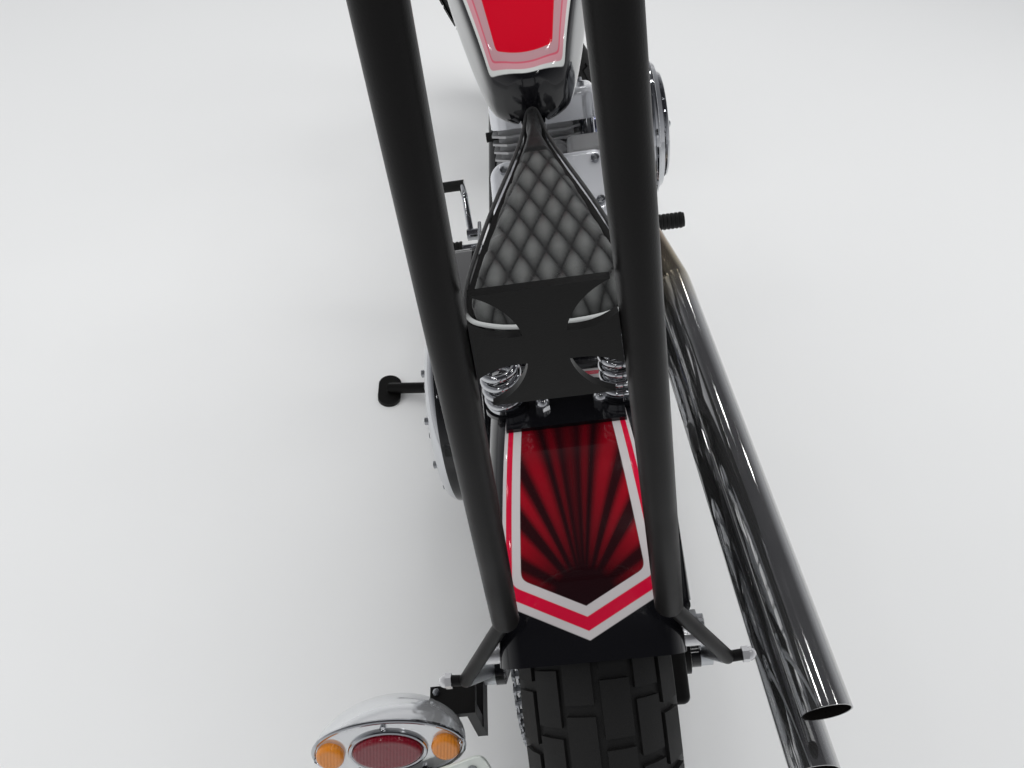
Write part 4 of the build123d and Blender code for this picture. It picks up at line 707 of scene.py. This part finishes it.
def flat_pad():
    """The pad before stuffing, with its top edge rounded, in metres from the seat's nose."""
    mesh = bmesh.new()
    base = mesh.faces.new([mesh.verts.new((x * 0.985 - 4, y * 0.93, 4)) for x, y in seat_rim])
    grown = bmesh.ops.extrude_face_region(mesh, geom=[base])
    lifted = [item for item in grown["geom"] if isinstance(item, bmesh.types.BMVert)]
    bmesh.ops.translate(mesh, vec=(0, 0, 20), verts=lifted)
    top_edges = [edge for edge in mesh.edges if all(vert in lifted for vert in edge.verts)]
    bmesh.ops.bevel(mesh, geom=top_edges, offset=9, segments=3, profile=0.5, affect="EDGES", material=-1)
    bmesh.ops.recalc_face_normals(mesh, faces=mesh.faces)
    bmesh.ops.scale(mesh, vec=(0.001, 0.001, 0.001), verts=mesh.verts)
    data = bpy.data.meshes.new("quilted_seat")
    mesh.to_mesh(data)
    mesh.free()
    return data


def applied(obj):
    """Put an object's modifiers into its mesh."""
    bpy.context.view_layer.update()
    shown = bpy.data.meshes.new_from_object(obj.evaluated_get(bpy.context.evaluated_depsgraph_get()))
    obj.modifiers.clear()
    obj.data = shown


# The pad is drawn flat, puffed by a short cloth step and then sunk along its seams.
pad = bpy.data.objects.new("quilted_seat", flat_pad())
scene.collection.objects.link(pad)
voxel = pad.modifiers.new("voxel", "REMESH")
voxel.mode, voxel.voxel_size, voxel.use_smooth_shade = "VOXEL", 0.005, True
applied(pad)
flat = [vert.co.copy() for vert in pad.data.vertices]
stuffing = pad.modifiers.new("stuffing", "CLOTH")
stuffing.settings.use_pressure = True
stuffing.settings.uniform_pressure_force = 4
stuffing.settings.effector_weights.gravity = 0
stuffing.settings.quality = 6
for count in range(1, 21):
    scene.frame_set(count)
applied(pad)
scene.frame_set(1)
most_puff, base_top = 0.007, 0.006
for vert, start in zip(pad.data.vertices, flat):
    move = vert.co - start
    if start.z < base_top:
        move = Vector((move.x * 0.4, move.y * 0.4, 0))
    vert.co = start + move.normalized() * min(move.length, most_puff)
finer = pad.modifiers.new("finer", "SUBSURF")
finer.levels = finer.render_levels = 1
applied(pad)
seam_depth, hem_depth, puff_lift = 0.0055, 0.003, 0.0015
side_top, hem_along, hem_bow = 0.012, -0.152, 9.0
for vert in pad.data.vertices:
    x, y, z = vert.co
    if z > side_top:
        across, along = y * 1000 / quilt_across, x * 1000 / quilt_along
        seam = abs(sin(pi * (across + along)) * sin(pi * (across - along)))
        behind_hem = hem_along - hem_bow * y ** 2 - x
        quilted = min(1.0, max(0.0, behind_hem / 0.008))
        hem = max(0.0, 1.0 - abs(behind_hem) / 0.005)
        relief = (seam ** 0.45 - 1.0) * seam_depth * quilted - hem_depth * hem + puff_lift
        vert.co.z += relief * min(1.0, (z - side_top) / 0.008)
pad.data.transform(seat_place @ Matrix.Scale(1000, 4))
pad.data.shade_smooth()
pad.data.materials.clear()
pad.data.materials.append(seat_leather())
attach(pad, "chassis")
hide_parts("seat_pad")


def tube_along(name, points, radius, place, material):
    """Closed ring of round cord or wire along smooth points, riding on the chassis."""
    curve = bpy.data.curves.new(name, "CURVE")
    curve.dimensions = "3D"
    curve.bevel_depth, curve.bevel_resolution, curve.resolution_u = radius, 3, 8
    spline = curve.splines.new("NURBS")
    spline.points.add(len(points) - 1)
    for target, source in zip(spline.points, points):
        target.co = (*source, 1)
    spline.order_u, spline.use_cyclic_u = 3, True
    holder = bpy.data.objects.new(name, curve)
    scene.collection.objects.link(holder)
    bpy.context.view_layer.update()
    drawn = holder.evaluated_get(bpy.context.evaluated_depsgraph_get())
    tube = bmesh.new()
    tube.from_mesh(bpy.data.meshes.new_from_object(drawn))
    bpy.data.objects.remove(holder)
    finished(name, tube, material, "chassis", place)


piping_black, piping_highlight_grey = (0.02, 0.02, 0.02), (0.42, 0.43, 0.42)
piping_leather = finish("piping", piping_black, roughness=0.45)
grain(piping_leather, 800, 0.0003, 60, (0.3, 0.45))
# Painted highlight: the black piping is painted pale grey across the rear, where it faces the light.
rear_highlight_share = step(piping_leather, upright_xyz(piping_leather)[0], 150.0, 135.0)
shade(piping_leather, "Base Color", blend_of(piping_leather, rear_highlight_share, piping_black, piping_highlight_grey))
tube_along("seat_piping", [(x * 0.985 - 4, y * 0.99, 16) for x, y in seat_rim], 2.4, seat_place,
           piping_leather)
strap_nuts = bmesh.new()
for y in (21, -36):
    cap_nut(strap_nuts, (88, y, 661), (0.25, 0, 0.97), 8)
finished("strap_nuts", strap_nuts, chrome, "chassis")

# Rear fender.
# Rolled steel fender in black lacquer. On its top a red panel faded with black rays ends in a chevron,
# bordered by two silver stripes with a red stripe between them, under clear coat.
silver_stripe, red_line = (0.46, 0.43, 0.43), (0.48, 0.004, 0.03)
panel_stripes = ((0.0, lacquer_black), (0.6, silver_stripe), (7.2, red_line), (17.3, silver_stripe),
                 (25.0, (0.03, 0.0, 0.001)))
fan_rays = ((0.0, 0.14), (0.035, 0.02), (0.065, 0.26), (0.095, 0.0), (0.15, 0.6), (0.17, 0.6), (0.215, 0.02),
            (0.235, 0.02), (0.285, 0.8), (0.30, 0.8), (0.35, 0.03), (0.40, 0.03), (0.47, 1.0), (0.53, 1.0),
            (0.61, 0.05), (0.66, 0.05), (0.75, 0.9), (0.86, 0.9), (0.93, 0.1))


def length_of(material, first, second):
    """The distance across two lengths at a right angle."""
    squares = [calc(material, "POWER", side, 2.0) for side in (first, second)]
    return calc(material, "SQRT", calc(material, "ADD", *squares))


def fender_inset(work, material, x, y, z):
    """How far inside the panel's edge a point of the fender's outer face lies, and its places on it.

    Lengths along the top are arcs about the axle, from the chevron's point and from the front edge.
    """
    arc_r, point_turn, front_turn = 345.0, radians(114.3), radians(62)
    chevron_slope, chevron_square, rounding = -0.5, 0.894, 9.0
    flank_line, flank_steep = (19.2, 41.7), (2.0, -17.3)
    corner_y, corner_reach, corner_r, least_reach = 56.0, 323.0, 20.6, 318.0
    wide = work("ABSOLUTE", y)
    rise = work("SUBTRACT", z, rear_axle.z)
    turn = work("ARCTAN2", rise, x)
    reach = length_of(material, x, rise)
    from_point = work("MULTIPLY_ADD", turn, -arc_r, arc_r * point_turn)
    from_front = work("MULTIPLY_ADD", turn, arc_r, -arc_r * front_turn)
    chevron = work("MULTIPLY", work("MULTIPLY_ADD", wide, chevron_slope, from_point), chevron_square)
    flank = work("SUBTRACT", work("MULTIPLY_ADD", turn, *flank_line), wide)
    flank = work("MINIMUM", flank, work("MULTIPLY_ADD", flank, *flank_steep))
    inset = work("SMOOTH_MIN", work("SMOOTH_MIN", chevron, flank, rounding), from_front, rounding)
    corner = work("MAXIMUM", work("SUBTRACT", wide, corner_y), 0.0)
    skin = length_of(material, corner, work("SUBTRACT", reach, corner_reach))
    outside = work("MULTIPLY", work("GREATER_THAN", skin, corner_r), work("GREATER_THAN", reach, least_reach))
    return work("MULTIPLY", inset, outside), from_point, from_front


def fender_lacquer():
    """Lacquer with the striped panel and its fan, dark at its middle, with painted shade towards the seat."""
    paint = finish("fender_paint", lacquer_black, roughness=0.1, fixed=clear_coat)
    grain(paint, 220, 0.00008, 10, (0.08, 0.14))
    work = partial(calc, paint)
    fan_middle, panel_edge, panel_dark = 34.0, 25.0, (0.010, 0.002, 0.003)
    x, y, z = upright_xyz(paint)
    inset, from_point, from_front = fender_inset(work, paint, x, y, z)
    along = work("SUBTRACT", from_point, fan_middle)
    fan = work("DIVIDE", work("ABSOLUTE", work("ARCTAN2", y, along)), radians(90))
    rays = ramp(paint, fan, [(where, (share,) * 3) for where, share in fan_rays], "EASE")
    glow = work("MULTIPLY", rays, step(paint, length_of(paint, along, y), 24.0, 125.0))
    # Painted shade: the panel is darkened towards the seat, as if lying in the seat's shadow.
    painted_seat_shade = work("MULTIPLY_ADD", step(paint, from_front, 20.0, 230.0), 0.84, 0.08)
    panel = blend_of(paint, work("MULTIPLY", glow, painted_seat_shade), panel_dark, candy)
    on_panel = step(paint, inset, panel_edge - 0.4, panel_edge + 0.4)
    shade(paint, "Base Color", blend_of(paint, on_panel, stripe_ramp(paint, inset, panel_stripes), panel))
    return paint


wear_on(fender_lacquer(), "rear_fender")

# Sissy bar.
# Tall hoop of steel tube, satin black, with bright solid rods bolted to the axle plates. Turned alloy
# spacers and domed nuts hold it to the fender, and a flat steel cross is bolted between its legs.
bar_black, bar_bright, rod_top_z = (0.005, 0.0045, 0.0045), (0.58, 0.60, 0.62), 553.0
wear_on(satin_black, "cross_plate", "side_stand")
bar_finish = finish("bar_black", bar_black, roughness=0.4, fixed={"Specular IOR Level": 0.16})
grain(bar_finish, 900, 0.00008, 18, (0.32, 0.46))
on_rod = step(bar_finish, upright_xyz(bar_finish)[2], rod_top_z, rod_top_z - 1)
shade(bar_finish, "Base Color", blend_of(bar_finish, on_rod, bar_black, bar_bright))
shade(bar_finish, "Metallic", on_rod)
wear_on(bar_finish, "sissy_bar")
bar_bolts = bmesh.new()
for side in (-1, 1):
    rod(bar_bolts, (-130, side * 79, 600), (-130, side * 92, 600), 7.5, 24)
    cap_nut(bar_bolts, (-132.5, side * 131, 556.5), (0, side, 0), 7)
finished("sissy_spacers", bar_bolts, polished, "chassis")

# Tail light.
# Chromed cast hood with a dark red oval lens, in a bright rim, between two round amber turn lamps that
# are each backed by a ring inside it. Small screws hold its face.
lens_coat = {"Coat Weight": 1.0, "Coat Roughness": 0.02}
red_lens = finish("red_lens", (0.15, 0.002, 0.010), roughness=0.12, fixed=lens_coat)
amber_lens = finish("amber_lens", (0.62, 0.20, 0.010), roughness=0.15, fixed=lens_coat)
for lens in (red_lens, amber_lens):
    place = node(lens, "TexCoord").outputs["Object"]
    ribs = node(lens, "TexWave", {"Vector": place, "Scale": 95.0, "Distortion": 0.0}, bands_direction="Y")
    cells = node(lens, "TexVoronoi", {"Vector": place, "Scale": 260.0})
    bumped(lens, calc(lens, "ADD", ribs.outputs["Fac"], cells.outputs["Distance"]), 0.0006, 0.6)
lamp_chrome = finish("lamp_chrome", (0.74, 0.75, 0.76), metallic=0.72, roughness=0.09)
grain(lamp_chrome, 90, 0.00003, 20, (0.06, 0.14))
wear_on(lamp_chrome, "tail_light_hood")
wear_on(red_lens, "tail_light_lens")
wear_on(amber_lens, "turn_lamp_lenses")
wear_on(satin_black, "tail_light_bracket")
lamp_face = parked @ Matrix.Translation((-154, 216, 452)) @ Matrix.Rotation(radians(30), 4, "Y")
lamp_rims = bmesh.new()
for y in (-59, 59):
    turned(lamp_rims, [(-2.5, 14.8), (-8, 14.8), (-9, 16), (-8, 17.5), (-2.5, 18)], 36,
           Matrix.Translation((0, y, 0)) @ Matrix.Rotation(radians(90), 4, "Z"), closed=True)
for y, z in ((-74, 5), (0, 27.5), (74, -5), (-34, -25), (34, -25)):
    screw(lamp_rims, (-3, y, z), (-1, 0, 0), 3.2, 2.5)
finished("lamp_rims", lamp_rims, chrome, "chassis", lamp_face)


def oval_points(half, rise, depth, count=24):
    """Points round an upright oval."""
    return [(depth, half * cos(tau * n / count), rise * sin(tau * n / count)) for n in range(count)]


tube_along("lamp_edge", oval_points(77.5, 34.8, -2.5), 2.4, lamp_face, chrome)
tube_along("lens_edge", oval_points(38.5, 22.5, -4.5), 2.6, lamp_face, chrome)
lamp_bolts = bmesh.new()
for x in (-119, -103):
    cap_nut(lamp_bolts, (x, 169, 448), (0, 0, 1), 4)
finished("lamp_bolts", lamp_bolts, steel_finish, "chassis")

# Number plate.
# Blank pressed alloy plate, painted pale, with a rolled edge. Four bolts hold it below the tail light,
# on the same bracket.
plate_paint = finish("pale_plate", (0.70, 0.74, 0.69), roughness=0.35)
grain(plate_paint, 300, 0.0001, 40, (0.28, 0.42), ((0.66, 0.70, 0.65), (0.76, 0.79, 0.74)))
wear_on(plate_paint, "number_plate")
plate_face = lamp_face @ Matrix.Translation((0, -26.5, -81)) @ Matrix.Rotation(radians(-18), 4, "X")
plate_bolts = bmesh.new()
for y in (-72, 72):
    for z in (-38, 38):
        screw(plate_bolts, (-14, y, z), (-1, 0, 0), 5, 3)
finished("plate_bolts", plate_bolts, steel_finish, "chassis", plate_face)
plate_corner = [(80, 50), (86, 48.5), (88, 42)]
plate_edge = plate_corner + [(y, -z) for y, z in reversed(plate_corner)]
plate_edge += [(-y, -z) for y, z in plate_edge]
plate_line = [(-14, *point) for point in plate_edge for _ in range(2)]
tube_along("plate_edge", plate_line, 1.1, plate_face, plate_paint)

# Foot controls.
# Chromed steel pegs with ribbed rubber sleeves, and forged levers with rubber toe pieces, set ahead of
# the engine.
wear_on(chrome, "foot_pegs", "foot_levers")
toe_rubber = [(172, 8), (172, 11.5), (231, 11.5), (232.5, 10), (233, 0.01)]
sleeve = [(188.2, 10)]
for number in range(11):
    start = 188.5 + number * 8.5
    sleeve += [(start, 15.5), (start + 0.8, 17), (start + 5.5, 17), (start + 6.3, 15.5)]
sleeve += [(284, 15), (285, 0.01)]
peg_rubber = bmesh.new()
for side in (-1, 1):
    for outline, steps, at in ((sleeve, 28, (930, 0, 200)), (toe_rubber, 24, (1048, 0, 280))):
        outline = [(side * along, radius) for along, radius in outline]
        turned(peg_rubber, outline, steps, Matrix.Translation(at))
finished("peg_rubbers", peg_rubber, rubber, "chassis")

# Front fork.
# Chromed tubes in polished sliders, black clamps, hexagon caps on top and rubber wipers on the sliders.
# Its pieces are drawn from the middle of the neck, z up the steering axis.
rake, steer, tube_x, tube_y = radians(-38), radians(35), 45, 102
forked = (parked @ Matrix.Translation((1112, 0, 868)) @ Matrix.Rotation(rake, 4, "Y")
          @ Matrix.Rotation(steer, 4, "Z"))
wear_on(chrome, "fork_tubes")
wear_on(polished, "fork_sliders")
wear_on(black_paint, "fork_clamps")
fork_caps = bmesh.new()
fork_wipers = bmesh.new()
wiper_outline = [(-338.5, 21), (-338.5, 28), (-334, 29), (-330, 27), (-322, 22.5), (-322, 21)]
for side in (-1, 1):
    y = side * tube_y
    rod(fork_caps, (tube_x, y, 133), (tube_x, y, 138), 20.4, 32)
    rod(fork_caps, (tube_x, y, 138), (tube_x, y, 147), 15, 6)
    for z in (-93, 91):
        screw(fork_caps, (28, y * 0.62, z), (-0.4, side * 0.9, 0), 4, 3)
    turned(fork_wipers, wiper_outline, 36, Matrix.Translation((tube_x, y, 0)) @ turned_to_z, closed=True)
finished("fork_caps", fork_caps, chrome, "fork", forked)
finished("fork_wipers", fork_wipers, rubber, "fork", forked)

# Headlamp.
# Chromed pressed shell with a rim, and a fluted glass lens over its reflector. A bracket on the fork
# clamps carries it.
wear_on(chrome, "headlamp_shell")
lamp_glass = finish("lamp_glass", (0.94, 0.95, 0.96), roughness=0.03,
                    fixed={"Transmission Weight": 1.0, "IOR": 1.45})
flutes = node(lamp_glass, "TexWave", {"Vector": upright_place(lamp_glass), "Scale": 0.09, "Distortion": 0.0},
              bands_direction="Y")
bumped(lamp_glass, flutes.outputs["Fac"], 0.0008)
wear_on(lamp_glass, "headlamp_lens")

# Handlebar.
# Bent chromed tube held in two risers. Ribbed rubber grips close its ends, and forged clutch and brake
# levers stand ahead of them.
wear_on(chrome, "handlebar", "hand_levers")
elbow, bar_end = Vector((30, 135, 365)), Vector((-125, 350, 345))
grip_outline = [(-121, 13), (-121, 21), (-117, 21), (-116, 16.6)]
for number in range(12):
    start = -112 + number * 8.8
    grip_outline += [(start, 16.6), (start + 1, 17.8), (start + 5, 17.8), (start + 6, 16.6)]
grip_outline += [(-4, 16.6), (-3, 18), (1, 18), (4, 15), (5, 0.01)]
grips = bmesh.new()
for side in (-1, 1):
    mirror = Vector((1, side, 1))
    turned(grips, grip_outline, 28, aim(bar_end * mirror, (bar_end - elbow) * mirror) @ turned_to_z)
grip_piece = finished("ribbed_grips", grips, rubber, "fork", forked)
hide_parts("grips")

# Front wheel.
# Twenty-one inch tyre with blocks like the rear one's, on a chromed spoked rim, with its disc bolted
# to the hub.
front_hub = forked @ Matrix.Translation((tube_x, 0, -737.6356))
front_tyre = finished("front_tyre_tread", tread_tyre(342, 88, 267, 8), tyre_rubber, "front_wheel",
                      front_hub, 25)
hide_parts("front_tyre")
finished("front_nipples", spoke_nipples(267, 24, 38), chrome, "front_wheel", front_hub)
front_bolts = bmesh.new()
screw_ring(front_bolts, (0, 72.5, 0), 32, hub_screw_turns, 4, 2.5)
finished("front_hub_bolts", front_bolts, steel_finish, "front_wheel", front_hub)
